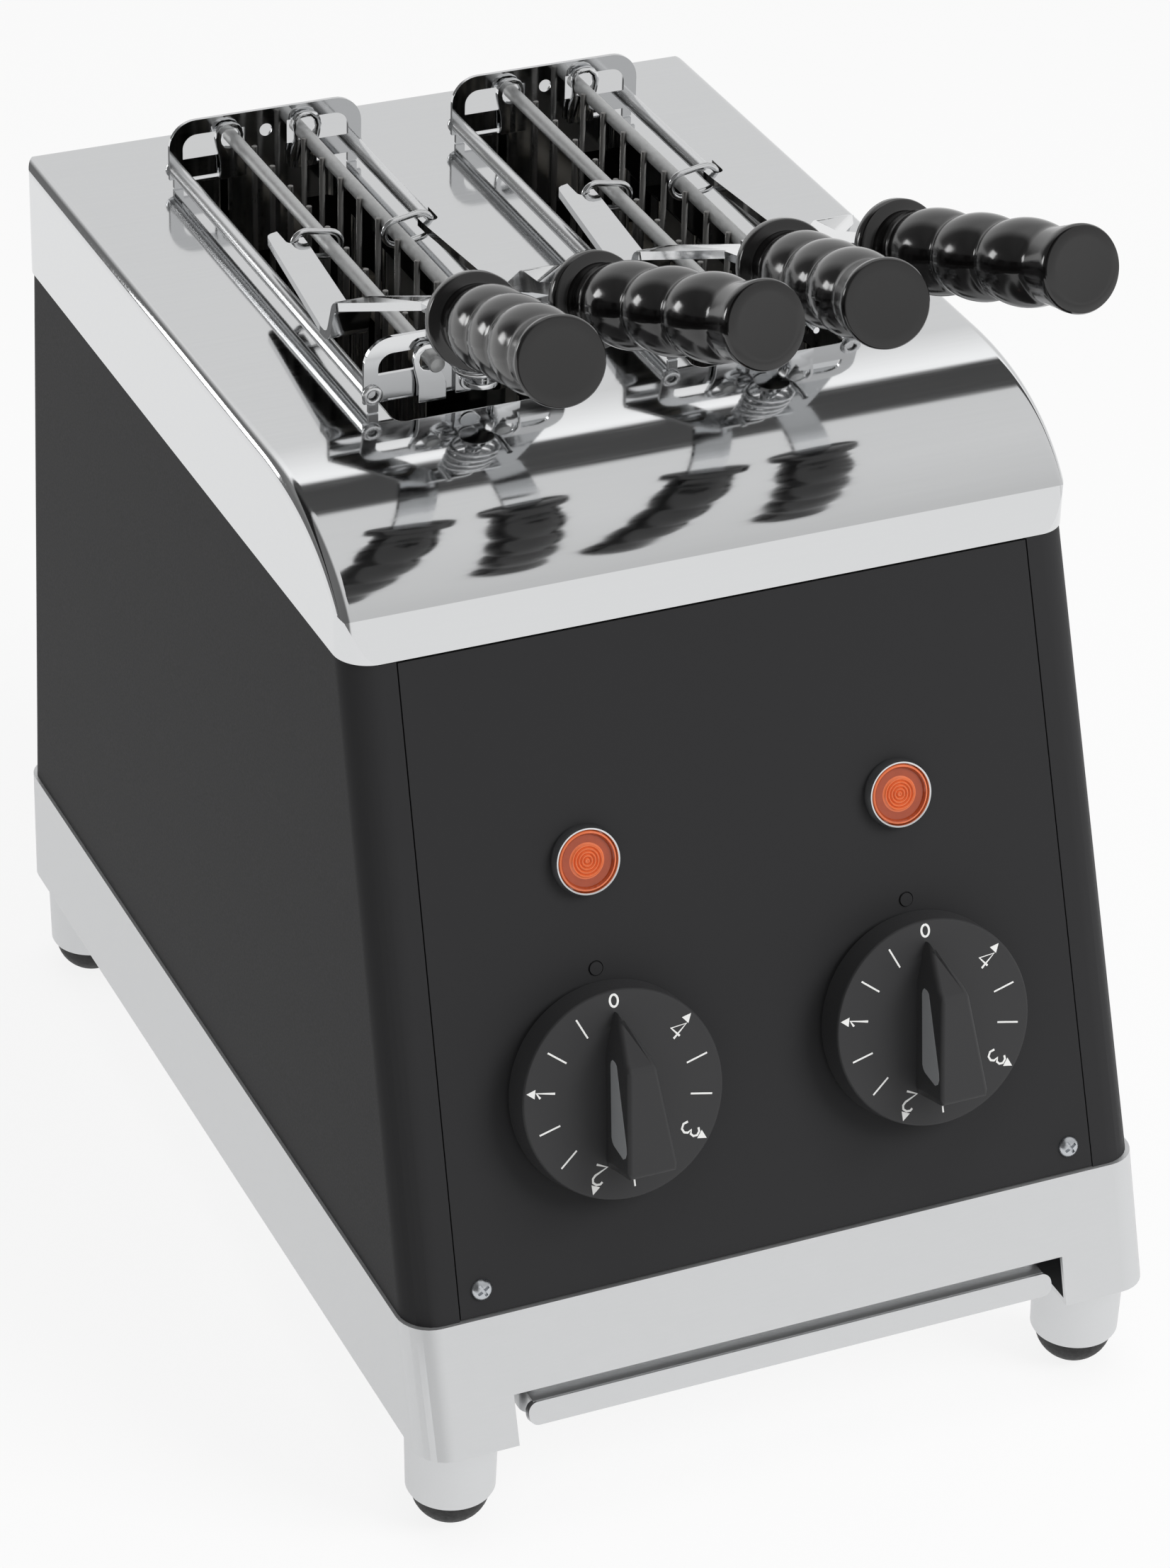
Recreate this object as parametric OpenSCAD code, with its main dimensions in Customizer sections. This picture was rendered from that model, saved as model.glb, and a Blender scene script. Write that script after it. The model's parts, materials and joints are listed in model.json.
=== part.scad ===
// Two-slot tong toaster, free standing, all sizes in millimetres.
// +Z is up, the front panel faces -Y, the origin is on the table under the middle of the footprint.

/* [Base and body] */
// Width of the base frame
base_w = 232; // [212:1:250]
// Depth of the base frame at its lower edge
base_d = 344; // [330:1:370]
// Height of the base frame
base_h = 37.5; // [34:0.5:46]
// Wall thickness of the base frame
base_wall = 1.5; // [1.2:0.1:2]
// Radius of the upright corners
corner_r = 10; // [8.5:0.5:14]
// Height of the painted body between base and cover
body_h = 180; // [168:1:195]
// Sheet thickness of body, cover and liners
sheet = 1.2; // [1:0.1:1.6]
// Backward lean of the front, in degrees
front_lean = 18.5; // [15:0.1:20]
// Inward lean of the two sides, in degrees
side_lean = 1.4; // [1:0.1:2.5]
// Step from the base face back to the body face
body_set = 1; // [0.6:0.1:1.6]
// Gap of the seams round the front panel
seam = 0.4; // [0.3:0.05:0.6]

/* [Cover] */
// Height of the polished cover
cover_h = 36; // [34:0.5:44]
// Height of the short front band below the curve
band_h = 12.3; // [9:0.1:15]
// Horizontal run of the front curve
curve_run = 60; // [48:1:61]
// Distance behind the crease at which the two ends of the curve aim
curve_aim = 17.3; // [8:0.1:24]
// Distance of each slot from the middle
tong_x = 46; // [44.5:0.25:48]
// Half width of a slot
slot_half = 23.4; // [22.6:0.1:25]
// Front end of a slot, from the front edge of the base
slot_front = 139.5; // [137:0.5:141]
// Depth of the collar turned down round a slot
collar_h = 12; // [8:0.5:16]

/* [Feet and tray] */
// Radius of a foot sleeve at its upper end
foot_r = 13.5; // [12:0.1:14]
// Height of the metal foot sleeve
sleeve_h = 22.5; // [18:0.5:28]
// Height of the rubber foot tip
tip_h = 11; // [9:0.25:13]
// Radius of the rubber foot tip
tip_r = 11.5; // [10:0.1:12.5]
// Distance of a foot from the side of the base
foot_side = 15.2; // [14.6:0.1:17]
// Distance of a foot from the front and rear of the base
foot_end = 17.6; // [16:0.1:22]
// Half width of the tray opening in the front of the base
notch_half = 87.2; // [84:0.2:89]
// Height of the tray opening
notch_h = 14.5; // [13.5:0.25:18]
// Gap between the tray and its opening
tray_gap = 4; // [3:0.25:5]
// Distance of the crumb tray from the rear of the base
tray_back = 35; // [32:0.5:60]

/* [Panel fittings] */
// Distance of knobs and lamps from the middle
fit_x = 48.3; // [45:0.1:52]
// Height of the knob axis up the panel
knob_u = 58.2; // [54:0.2:58.8]
// Height of the index stud up the panel
stud_u = 92.5; // [92:0.25:98]
// Height of the lamp up the panel
lamp_u = 124.1; // [120:0.5:150]
// Radius of a knob skirt
knob_r = 31; // [28:0.25:31.5]
// Thickness of a knob skirt
skirt_t = 9.5; // [7:0.25:11]
// Height of the grip above the skirt
grip_h = 16.2; // [12:0.1:16.2]
// Radius of a timer shaft
shaft_r = 3; // [2.5:0.1:3.5]
// Radius of a lamp bezel
bezel_r = 10.3; // [9.5:0.1:12]

/* [Tongs] */
// Lift of the rail axis above the cover
rail_z = 6; // [5.6:0.1:6.4]
// Distance of a rail from the tong middle
rail_x = 28.6; // [28.4:0.1:29.2]
// Radius of a rail
rail_r = 3; // [2.6:0.1:3.2]
// Lift of the grid rod above the cover
rod_z = 14; // [13.6:0.1:14.4]
// Distance of a grid rod from the tong middle, closed
rod_x = 10.7; // [10.5:0.05:11]
// Radius of a grid rod
rod_r = 2.75; // [2.4:0.05:2.8]
// Radius of a grid wire
wire_r = 1.25; // [1:0.05:1.3]
// Spacing of the grid wires
wire_pitch = 15; // [13:0.25:16]
// Depth of the grid below the cover
grid_deep = 118; // [100:1:125]
// Front face of the tong front plate
plate_front = 146; // [145.5:0.1:146.5]
// Distance of the tong rear plate from the rear of the base
plate_back = 40.5; // [38:0.25:46]
// Thickness of the tong plates
plate_t = 1.2; // [1:0.1:1.5]
// Squeeze of each handle, in degrees
squeeze = 4.8; // [3:0.1:4.8]
// Depth of the pivot pin behind the front edge of the base
pivot_y = 136; // [135:0.1:136.5]
// Radius of the pivot pin
pin_r = 2.5; // [2.2:0.05:2.6]
// Mean radius of the torsion coil
coil_r = 7; // [6.5:0.1:7.1]
// Radius of the spring wire
coil_wire = 0.95; // [0.8:0.05:1]
// Turns of the torsion coil
coil_turns = 5; // [4:1:5]
// Width of an arm strip
arm_w = 11.5; // [10:0.1:12]
// Thickness of an arm strip
arm_t = 2.4; // [2:0.1:2.6]
// Length of a handle
handle_l = 90.5; // [84:0.5:98]
// Largest radius of a handle bulge
handle_r = 12.1; // [11:0.1:12.4]
// Sideways splay of a handle, in degrees
handle_splay = 7.8; // [7.2:0.1:8.4]
// Upward tilt of a handle, in degrees
handle_tilt = 19; // [17.5:0.1:20.5]

/* [Hidden] */
$fn = 64;

// Shared clearances and steps
eps = 0.01;
run_gap = 0.05;
free_gap = 0.3;
over = 1;
soft_fn = 32;

// Colours
steel = "#D6D7D8";
black = "#34373A";
satin = "#C9CACB";
rubber = "#232323";
dark = "#26282A";
wire_grey = "#BFC0C0";
bakelite = "#1C1B1B";
amber = "#D9821B";
ceramic = "#E6E0D4";

// Heights above the table
z_base = sleeve_h + tip_h;
z_body = z_base + base_h;
z_cover = z_body + body_h;
z_top = z_cover + cover_h;
z_crease = z_cover + band_h;

// Rear fittings and footprint centring
gland_out = 6;
y_shift = -(base_d + gland_out) / 2;
lean_t = tan(front_lean);
side_t = tan(side_lean);
function front_at(z) = (z - z_base) * lean_t;

// Body, measured from the front edge of the base
body_w0 = base_w - 2 * body_set;
body_w1 = body_w0 - 2 * body_h * side_t;
body_rear = base_d - body_set;
panel_u = body_h / cos(front_lean);
panel_t = 1.5;
panel_foot = panel_t * lean_t + run_gap;
seam_x0 = body_w0 / 2 - corner_r - body_set - 3.7;
seam_x1 = body_w1 / 2 - corner_r - 4.3;
cover_w = body_w1 + 2 * seam;
cover_front = front_at(z_cover) + body_set - seam;
crease_y = cover_front + band_h * lean_t;
curve_rise = cover_h - band_h;
plate_rear = base_d - plate_back;
slot_rear = plate_rear + 4.5;
slot_r = 3;

// Base flanges and deck
flange_t = 1.5;
foot_flange = foot_side + foot_r - 4.2;
deck_flange = 12;
deck_z = z_body;
deck_in = sheet + 1.3;

// Slot liners
liner_half = 42;
liner_t = 0.8;
liner_front = slot_front - 9.5;
liner_rear = slot_rear + 8;
liner_d = liner_rear - liner_front;
liner_z0 = deck_z + sheet;
liner_z1 = z_top - sheet - free_gap;
guard_x = slot_half + 4.2;
guard_r = 1.1;
tube_x = 35.5;
tube_r = 4.5;
cap_r = 5;
cap_l = 6;

// Tong frame
link_y = (plate_front + plate_rear) / 2;
reach = link_y - pivot_y;
rod_travel = reach * squeeze * PI / 180;
link_wire = 1.3;
link_r = rod_r + 0.55 + link_wire;
link_span = 6.6;
link_tilt = 10;
link_out = rod_x + link_span * cos(link_tilt);
hook_x = link_out + link_r;
win_in = rod_x - rod_r - 1.2;
win_out = rod_x + rod_travel + rod_r + 4;
win_z0 = rod_z - rod_r - 2.2;
win_z1 = rod_z + rod_r + 1.6;
ear_r = 9;
rear_half = rail_x + 3;
front_half = rail_x + 3.4;
plate_top = 23;
tongue_half = 12;
tongue_deep = 25;
lug_t = 1.8;
lug_gap = 0.8;
lug_r = 6;
lug_tail0 = rod_x - 3.2;
lug_tail1 = rod_x + 3.3;
wire_x = rod_x - rod_r - wire_r + 0.5;
wire_n = 2 * floor((plate_rear - plate_front - 20 + wire_pitch) / (2 * wire_pitch));
wire_y0 = (plate_front + plate_rear) / 2 - (wire_n - 1) * wire_pitch / 2;
hook_l = 5.6;

// Pivot, arms and handles
bracket_z = 9.5;
bracket_t = 1.5;
bracket_half = 4;
lug_step = 4;
lug_h = 2;
handle_x = 17.2;
handle_y = pivot_y - 34;
handle_z = 47.8;
handle_at = [-handle_x, handle_y, handle_z];
ramp = atan(tan(handle_tilt) / cos(handle_splay));
ramp_splay = atan(tan(handle_splay) * cos(ramp));
ramp_z = handle_z - (pivot_y - handle_y) * tan(ramp);
lug_low = ramp_z - 5;
coil_z0 = bracket_z + bracket_t + coil_wire + 0.4;
coil_z1 = lug_low - coil_wire - 0.4;
coil_pitch = (coil_z1 - coil_z0) / (coil_turns - 0.5);
coil_gap = coil_pitch - 2 * coil_wire;
pin_top = lug_low + lug_step + lug_h + 0.5;
flange_r = handle_r + 1.4;
flange_h = 4.7;
groove_r = handle_r - 2;
bulge_pitch = 0.232 * handle_l;
bulge_first = 0.253 * handle_l;
tang = 12;
tang_gap = 0.3;
strip_z = rod_z + 1.6;
fold_y = pivot_y + 0.332 * reach;
fold_in = rod_x + 12;
fold_out = fold_in + arm_w;

assert(coil_gap > 0.4, "coil turns too close");
echo(coil_gap = coil_gap);

// Placing helpers
module placed() {
    translate([0, y_shift, 0])
        children();
}

module on_panel(x, u) {
    placed()
        translate([x, front_at(z_body) + body_set, z_body])
            rotate([90 - front_lean, 0, 0])
                translate([0, u, 0])
                    children();
}

module each_side() {
    for (s = [-1, 1])
        translate([s * fit_x, 0, 0])
            children();
}

module in_tong(s) {
    placed()
        translate([s * tong_x, 0, z_top])
            children();
}

module flip(s) {
    mirror([s > 0 ? 1 : 0, 0, 0])
        children();
}

// Upright box with round corners between two levels, each with its own width and front line
module lean_box(w0, f0, z0, w1, f1, z1, rear, r) {
    hull() {
        for (s = [-1, 1]) {
            translate([s * (w0 / 2 - r), f0 + r, z0])
                cylinder(r = r, h = eps, $fn = soft_fn);
            translate([s * (w0 / 2 - r), rear - r, z0])
                cylinder(r = r, h = eps, $fn = soft_fn);
            translate([s * (w1 / 2 - r), f1 + r, z1 - eps])
                cylinder(r = r, h = eps, $fn = soft_fn);
            translate([s * (w1 / 2 - r), rear - r, z1 - eps])
                cylinder(r = r, h = eps, $fn = soft_fn);
        }
    }
}

module round_rect(x0, y0, x1, y1, r) {
    for (x = [x0 + r, x1 - r])
        for (y = [y0 + r, y1 - r])
            translate([x, y])
                circle(r = r);
    translate([x0 + r, y0])
        square([x1 - x0 - 2 * r, y1 - y0]);
    translate([x0, y0 + r])
        square([x1 - x0, y1 - y0 - 2 * r]);
}

// Sheet that faces the front: drawn in x and z, its front face at y = 0
module front_sheet(t) {
    translate([0, t, 0])
        rotate([90, 0, 0])
            linear_extrude(t)
                children();
}

module rod_along_y(r, y0, y1) {
    translate([0, y0, 0])
        rotate([-90, 0, 0])
            cylinder(r = r, h = y1 - y0);
}

module pan_screw(l) {
    difference() {
        rotate_extrude()
            intersection() {
                translate([0, -1.9])
                    circle(r = 3.8);
                square([3.3, 1.8]);
            }
        for (a = [0, 90])
            rotate(a)
                translate([-2, -0.4, 0.9])
                    cube([4, 0.8, 2]);
    }
    translate([0, 0, -l])
        cylinder(r = 1.9, h = l + eps);
}

// Housing
module base_frame() {
    color(satin)
        placed()
            difference() {
                union() {
                    difference() {
                        lean_box(base_w, 0, z_base, base_w, front_at(z_body), z_body, base_d, corner_r);
                        lean_box(base_w - 2 * base_wall, base_wall - over * lean_t, z_base - over,
                            base_w - 2 * base_wall, front_at(z_body + over) + base_wall, z_body + over,
                            base_d - base_wall, corner_r - base_wall);
                    }
                    translate([0, 0, z_base])
                        base_ring(foot_flange, 0);
                    translate([0, 0, z_body - flange_t])
                        base_ring(deck_flange, front_at(z_body - flange_t));
                }
                translate([-notch_half, -over, z_base - over])
                    cube([2 * notch_half, foot_flange + 12, notch_h + over]);
                feet()
                    translate([0, 0, z_base - over])
                        cylinder(r = 3.1, h = flange_t + 2 * over);
                rear_holes(z_body - 9);
            }
}

module base_ring(wide, front) {
    linear_extrude(flange_t)
        difference() {
            round_rect(-base_w / 2 + 0.4, front + 0.8, base_w / 2 - 0.4, base_d - 0.4, corner_r);
            translate([-base_w / 2 + base_wall + wide, front + base_wall + wide])
                square([base_w - 2 * (base_wall + wide), base_d - front - 2 * (base_wall + wide)]);
        }
}

module feet() {
    for (x = [-1, 1])
        for (y = [foot_end, base_d - foot_end])
            translate([x * (base_w / 2 - foot_side), y, 0])
                children();
}

module foot_sleeves() {
    color(steel)
        placed()
            feet()
                translate([0, 0, tip_h])
                    difference() {
                        cylinder(r1 = foot_r - 0.5, r2 = foot_r, h = sleeve_h);
                        translate([0, 0, -over])
                            cylinder(r = 3.1, h = sleeve_h + 2 * over);
                    }
}

module foot_tips() {
    color(rubber)
        placed()
            feet()
                rotate_extrude()
                    intersection() {
                        translate([0, tip_h])
                            circle(r = tip_r);
                        square([tip_r, tip_h]);
                    }
}

module foot_bolts() {
    color(steel)
        placed()
            feet() {
                translate([0, 0, z_base + flange_t])
                    cylinder(r = 5.5, h = 4, $fn = 6);
                translate([0, 0, tip_h + 2])
                    cylinder(r = 3, h = z_base + flange_t - tip_h - 2 + eps);
            }
}

module deck_plate() {
    color(satin)
        placed()
            translate([0, 0, deck_z])
                linear_extrude(sheet)
                    difference() {
                        round_rect(-body_w0 / 2 + deck_in, front_at(z_body) + body_set + deck_in + 3,
                            body_w0 / 2 - deck_in, body_rear - deck_in, corner_r);
                        for (s = [-1, 1])
                            translate([s * tong_x - liner_half + 6, liner_front + 6])
                                square([2 * liner_half - 12, liner_d - 12]);
                    }
}

module body_shell() {
    z1 = z_cover - seam;
    top_w = body_w1 + 2 * seam * side_t;
    in_w0 = body_w0 - 2 * sheet + 2 * over * side_t;
    in_w1 = top_w - 2 * sheet - 2 * over * side_t;
    inset = body_set + sheet;
    color(black) {
        difference() {
            placed()
                union() {
                    difference() {
                        lean_box(body_w0, front_at(z_body) + body_set, z_body,
                            top_w, front_at(z1) + body_set, z1, body_rear, corner_r);
                        lean_box(in_w0, front_at(z_body - over) + inset, z_body - over,
                            in_w1, front_at(z1 + over) + inset, z1 + over, body_rear - sheet,
                            corner_r - sheet);
                    }
                    for (x = [-1, 0, 1])
                        translate([x * body_w1 * 0.37 - 8, body_rear - sheet - 1, z1 - 18])
                            cube([16, 1.2, band_h + 22]);
                }
            on_panel(0, 0)
                translate([0, 0, -3.6])
                    linear_extrude(6)
                        polygon([[-seam_x0, -over], [seam_x0, -over], [seam_x1, panel_u],
                            [seam_x1, panel_u + 2], [-seam_x1, panel_u + 2], [-seam_x1, panel_u]]);
            placed() {
                rear_holes(z_cover + band_h * 0.8);
                gland_axis()
                    cylinder(r = 6.1, h = 20, center = true);
            }
        }
        for (s = [-1, 1])
            on_panel(0, 0)
                flip(s)
                    panel_return();
    }
}

// Return strip behind a panel seam, with the screw hole, drawn for the left side
module panel_return() {
    difference() {
        union() {
            translate([0, 0, -3.2])
                linear_extrude(1.5)
                    polygon([[-seam_x0 - 3, 2], [-seam_x0 + 12, 2], [-seam_x1 + 8, panel_u - 8],
                        [-seam_x1 - 1.5, panel_u - 8]]);
            translate([0, 0, -1.8])
                linear_extrude(1.4)
                    polygon([[-seam_x0 - 3, 2], [-seam_x0 - seam / 2, 2], [-seam_x1 - seam / 2, panel_u - 8],
                        [-seam_x1 - 1.5, panel_u - 8]]);
        }
        translate([-seam_x0 + 7.5, 8, -4])
            cylinder(r = 1.95, h = 4);
    }
}

module front_panel() {
    color(black)
        on_panel(0, 0)
            difference() {
                union() {
                    translate([0, 0, -panel_t])
                        linear_extrude(panel_t)
                            polygon([[-seam_x0 + seam, panel_foot], [seam_x0 - seam, panel_foot],
                                [seam_x1 - seam, panel_u - 2 * seam],
                                [-seam_x1 + seam, panel_u - 2 * seam]]);
                    each_side()
                        translate([0, stud_u, -0.5])
                            cylinder(r = 2, h = 0.9);
                }
                each_side() {
                    translate([0, knob_u, -2])
                        cylinder(r = shaft_r + 2.1, h = 3);
                    translate([0, lamp_u, -2])
                        cylinder(r = bezel_r - 2.6, h = 3);
                }
                for (s = [-1, 1])
                    translate([s * (seam_x0 - 7.5), 8, -2])
                        cylinder(r = 2, h = 3);
            }
}

module panel_screws() {
    color(steel)
        for (s = [-1, 1])
            on_panel(s * (seam_x0 - 7.5), 8)
                pan_screw(7);
}

module rear_holes(z) {
    for (x = [-1, 0, 1])
        translate([x * body_w1 * 0.37, base_d, z])
            rotate([90, 0, 0])
                cylinder(r = 2, h = 40, center = true);
}

module rear_screws() {
    color(steel)
        placed()
            for (x = [-1, 0, 1])
                for (z = [z_cover + band_h * 0.8, z_body - 9])
                    translate([x * body_w1 * 0.37, base_d, z])
                        rotate([-90, 0, 0])
                            pan_screw(6);
}

// Point of the front curve, from the crease at 0 to the flat top at 1
function curve_at(i) = [crease_y + 2 * i * (1 - i) * curve_aim + i * i * curve_run,
    z_crease + curve_rise * (1 - (1 - i) * (1 - i))];
function curve_out(i) = unit([-curve_rise * (1 - i), curve_aim + i * (curve_run - 2 * curve_aim)]);

module cover_profile(t) {
    foot = z_cover - (t > 0 ? over : 0);
    polygon(concat([[cover_front + t, foot]],
        [for (i = [0:24]) curve_at(i / 24) - t * curve_out(i / 24)],
        [[base_d - t, z_top - t], [base_d - t, foot]]));
}

module cover_form(t) {
    intersection() {
        rotate([90, 0, 90])
            translate([0, 0, -cover_w / 2 - over])
                linear_extrude(cover_w + 2 * over)
                    cover_profile(t);
        translate([0, 0, z_cover - 2 * over])
            linear_extrude(cover_h + 3 * over)
                round_rect(-cover_w / 2 + t, cover_front + t, cover_w / 2 - t, base_d - t, corner_r - t);
    }
}

module slot_outline(grow) {
    for (s = [-1, 1])
        translate([s * tong_x, 0])
            round_rect(-slot_half - grow, slot_front - grow, slot_half + grow, slot_rear + grow,
                slot_r + grow);
}

module top_cover() {
    color(steel)
        placed()
            difference() {
                union() {
                    difference() {
                        cover_form(0);
                        cover_form(sheet);
                    }
                    translate([0, 0, z_top - collar_h])
                        linear_extrude(collar_h - sheet / 2)
                            slot_outline(0.9);
                }
                translate([0, 0, z_top - collar_h - over])
                    linear_extrude(collar_h + 2 * over)
                        slot_outline(0);
                rear_holes(z_cover + band_h * 0.8);
            }
}

// Inside the housing
module liner(s) {
    color(dark)
        placed()
            translate([s * tong_x, 0, liner_z0])
                difference() {
                    translate([-liner_half - liner_t, liner_front - liner_t, 0])
                        cube([2 * (liner_half + liner_t), liner_d + 2 * liner_t, liner_z1 - liner_z0]);
                    translate([-liner_half, liner_front, -over])
                        cube([2 * liner_half, liner_d, liner_z1 - liner_z0 + 2 * over]);
                }
}

module chamber_left() {
    liner(-1);
}

module chamber_right() {
    liner(1);
}

module in_chambers() {
    placed()
        for (s = [-1, 1])
            translate([s * tong_x, 0, 0])
                for (m = [-1, 1])
                    flip(m)
                        children();
}

module guard_wires() {
    n = 7;
    step = (liner_d - 30) / (n - 1);
    z0 = liner_z0 + 14;
    z1 = z_top - collar_h - 5;
    color(wire_grey)
        in_chambers() {
            for (i = [0:n - 1])
                translate([guard_x, liner_front + 15 + i * step, z0 - guard_r])
                    cylinder(r = guard_r, h = z1 - z0 + 2 * guard_r);
            for (z = [z0, z1])
                translate([guard_x + guard_r, 0, z])
                    rod_along_y(guard_r, liner_front, liner_rear);
        }
}

tube_z = [0.22, 0.5, 0.78];

module heater_tubes() {
    color(ceramic)
        in_chambers()
            for (k = tube_z)
                translate([tube_x, 0, liner_z0 + k * (liner_z1 - liner_z0)])
                    difference() {
                        rod_along_y(tube_r, liner_front + 1.5, liner_rear - 1.5);
                        rod_along_y(tube_r - 1, liner_front, liner_rear);
                    }
}

module heater_caps() {
    color(ceramic)
        in_chambers()
            for (k = tube_z)
                translate([tube_x, 0, liner_z0 + k * (liner_z1 - liner_z0)])
                    for (y = [liner_front + 0.2, liner_rear - cap_l - 0.2])
                        difference() {
                            rod_along_y(cap_r + 0.6, y, y + cap_l);
                            translate([0, liner_front + 1.5, 0])
                                rod_along_y(tube_r + run_gap, 0, liner_d - 3);
                        }
}

module reflectors() {
    color(satin)
        in_chambers()
            translate([liner_half - 0.6, liner_front + 4, liner_z0 + 20])
                cube([0.6, liner_d - 8, liner_z1 - liner_z0 - 36]);
}

module terminal_block() {
    color(ceramic)
        placed()
            translate([base_w * 0.3 - 20, liner_rear + liner_t + 2, deck_z + sheet])
                difference() {
                    cube([40, 14, 18]);
                    for (i = [0:2])
                        translate([8 + 12 * i, 7, 6])
                            cylinder(r = 3, h = 20);
                }
}

module gland_axis() {
    translate([base_w * 0.3, body_rear, z_body + 34])
        rotate([-90, 0, 0])
            children();
}

module cable_gland() {
    color(bakelite)
        placed()
            gland_axis()
                difference() {
                    union() {
                        cylinder(r = 9.5, h = gland_out + body_set - 2, $fn = 6);
                        cylinder(r = 7.6, h = gland_out + body_set);
                        translate([0, 0, -10])
                            cylinder(r = 6, h = 12);
                        translate([0, 0, -sheet - 4])
                            cylinder(r = 9.5, h = 4, $fn = 6);
                    }
                    translate([0, 0, -11])
                        cylinder(r = 4.2, h = gland_out + 20);
                }
}

module tray_runners() {
    color(satin)
        placed()
            for (s = [-1, 1])
                flip(s)
                    translate([-notch_half, foot_flange, z_base + flange_t]) {
                        translate([-5, 0, 0])
                            cube([12, base_d - 2 * foot_flange, 1]);
                        cube([1, base_d - 2 * foot_flange, notch_h - 4]);
                    }
}

module crumb_tray() {
    half = notch_half - tray_gap;
    low = z_base + flange_t + 1 + 0.2;
    tall = 9;
    front = front_at(z_base + notch_h) + 4;
    tray_d = base_d - tray_back - front;
    lip_h = notch_h - 8;
    color(satin)
        placed() {
            translate([0, 0, low])
                difference() {
                    linear_extrude(tall)
                        round_rect(-half + 1, front, half - 1, front + tray_d, 4);
                    translate([0, 0, 0.8])
                        linear_extrude(tall)
                            round_rect(-half + 1.8, front + 0.8, half - 1.8, front + tray_d - 0.8, 3.2);
                }
            translate([-half + 2, front_at(z_base + notch_h - 4) + 1.6, low + tall - 2.6])
                cube([2 * half - 4, front - front_at(z_base + notch_h - 4), 1.2]);
            translate([0, front_at(z_base + 4.2), z_base + 4.2])
                rotate([90 - front_lean, 0, 0])
                    translate([0, 0, -3])
                        linear_extrude(2.6)
                            round_rect(-half, 0, half, lip_h + 0.4, 3);
        }
}

// Lamps, timers and knobs
lens_r = bezel_r - 1.6;
lamp_neck = bezel_r - 2.7;
lens_seat = 1;

module lamp_bezels() {
    color(steel)
        each_panel(lamp_u)
            rotate_extrude()
                difference() {
                    union() {
                        intersection() {
                            translate([0, -8.6])
                                circle(r = 13.4);
                            square([bezel_r, 4.6]);
                        }
                        translate([0, -9])
                            square([lamp_neck, 9.5]);
                    }
                    translate([0, -10])
                        square([lamp_neck - 1, 20]);
                    translate([0, lens_seat])
                        square([lens_r, 20]);
                }
}

module each_panel(u) {
    for (s = [-1, 1])
        on_panel(s * fit_x, u)
            children();
}

module lamp_lenses() {
    r = lens_r - run_gap;
    ring = r / 5;
    color(amber)
        each_panel(lamp_u)
            rotate_extrude() {
                translate([0, lens_seat])
                    square([r, 2.2]);
                for (i = [0:4])
                    intersection() {
                        translate([i * ring + (i == 0 ? 0 : ring / 2), lens_seat + 2.2])
                            circle(r = i == 0 ? ring * 0.95 : ring / 2);
                        square([r, 6]);
                    }
            }
}

module lamp_bodies() {
    color(ceramic)
        each_panel(lamp_u) {
            translate([0, 0, -26])
                cylinder(r = bezel_r - 3.8, h = 26 + lens_seat - run_gap);
            for (x = [-3, 3])
                translate([x - 0.4, -2, -34])
                    cube([0.8, 4, 9]);
        }
}

module timer_units() {
    color(ceramic)
        each_panel(knob_u)
            difference() {
                union() {
                    translate([-23, -23, -36])
                        cube([46, 46, 34]);
                    translate([0, 0, -3])
                        cylinder(r = shaft_r + 2, h = 4);
                }
                translate([0, 0, -20])
                    cylinder(r = shaft_r + run_gap, h = 30);
            }
}

module shaft() {
    color(steel)
        translate([0, 0, -19.5])
            cylinder(r = shaft_r, h = 19.5 + skirt_gap + skirt_t + 0.1);
}

// Pointer grip, tip upwards: right half of its foot, per unit of skirt radius
grip_half = [[0, 0.78], [0.05, 0.68], [0.135, 0.426], [0.242, -0.565], [0.223, -0.632]];
// Flank of the grip: its upper end on the left side and its slant
flank_top = knob_r * [-grip_half[2][0], grip_half[2][1]];
flank_slant = atan((grip_half[3][0] - grip_half[2][0]) / (grip_half[2][1] - grip_half[3][1]));
// Pointer insert in the left flank: run down the flank and height, per unit of grip height
insert_edge = [[-0.05, 0.32], [-0.1, 0.48], [-1.48, 0.9], [-1.63, 0.87], [-1.69, 0.75], [-1.51, 0.28]];
skirt_gap = 1.4;

module grip() {
    n = len(grip_half);
    tip = knob_r * grip_half[0][1];
    tail = knob_r * grip_half[n - 1][1];
    nose = 0.2 * grip_h;
    intersection() {
        translate([0, 0, -0.5])
            linear_extrude(grip_h + 0.5)
                polygon(knob_r * concat(grip_half,
                    [for (i = [n - 1:-1:1]) [-grip_half[i][0], grip_half[i][1]]]));
        rotate([90, 0, 90])
            translate([0, 0, -knob_r / 2])
                linear_extrude(knob_r)
                    polygon([[tail - over, -0.5], [tip + over, -0.5], [tip, nose],
                        [tip - grip_h + nose, grip_h], [tail - over, grip_h]]);
    }
}

// Thin plate lying in the left flank, from an outer to an inner depth
module flank_plate(outer, inner) {
    translate(flank_top)
        rotate([0, 0, -flank_slant])
            rotate([90, 0, 90])
                translate([0, 0, outer])
                    linear_extrude(inner - outer)
                        polygon(grip_h * insert_edge);
}

module knob() {
    color(bakelite)
        translate([0, 0, skirt_gap])
            difference() {
                union() {
                    cylinder(r1 = knob_r, r2 = knob_r - 1, h = skirt_t);
                    translate([0, 0, skirt_t])
                        grip();
                }
                translate([0, 0, -over])
                    cylinder(r = shaft_r + 0.02, h = skirt_t + over + 0.2);
                translate([0, 0, -over])
                    difference() {
                        cylinder(r = knob_r - 3, h = skirt_t - 2);
                        cylinder(r = shaft_r + 4, h = skirt_t);
                    }
                translate([0, 0, skirt_t])
                    flank_plate(-over, 0.8);
            }
}

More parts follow.
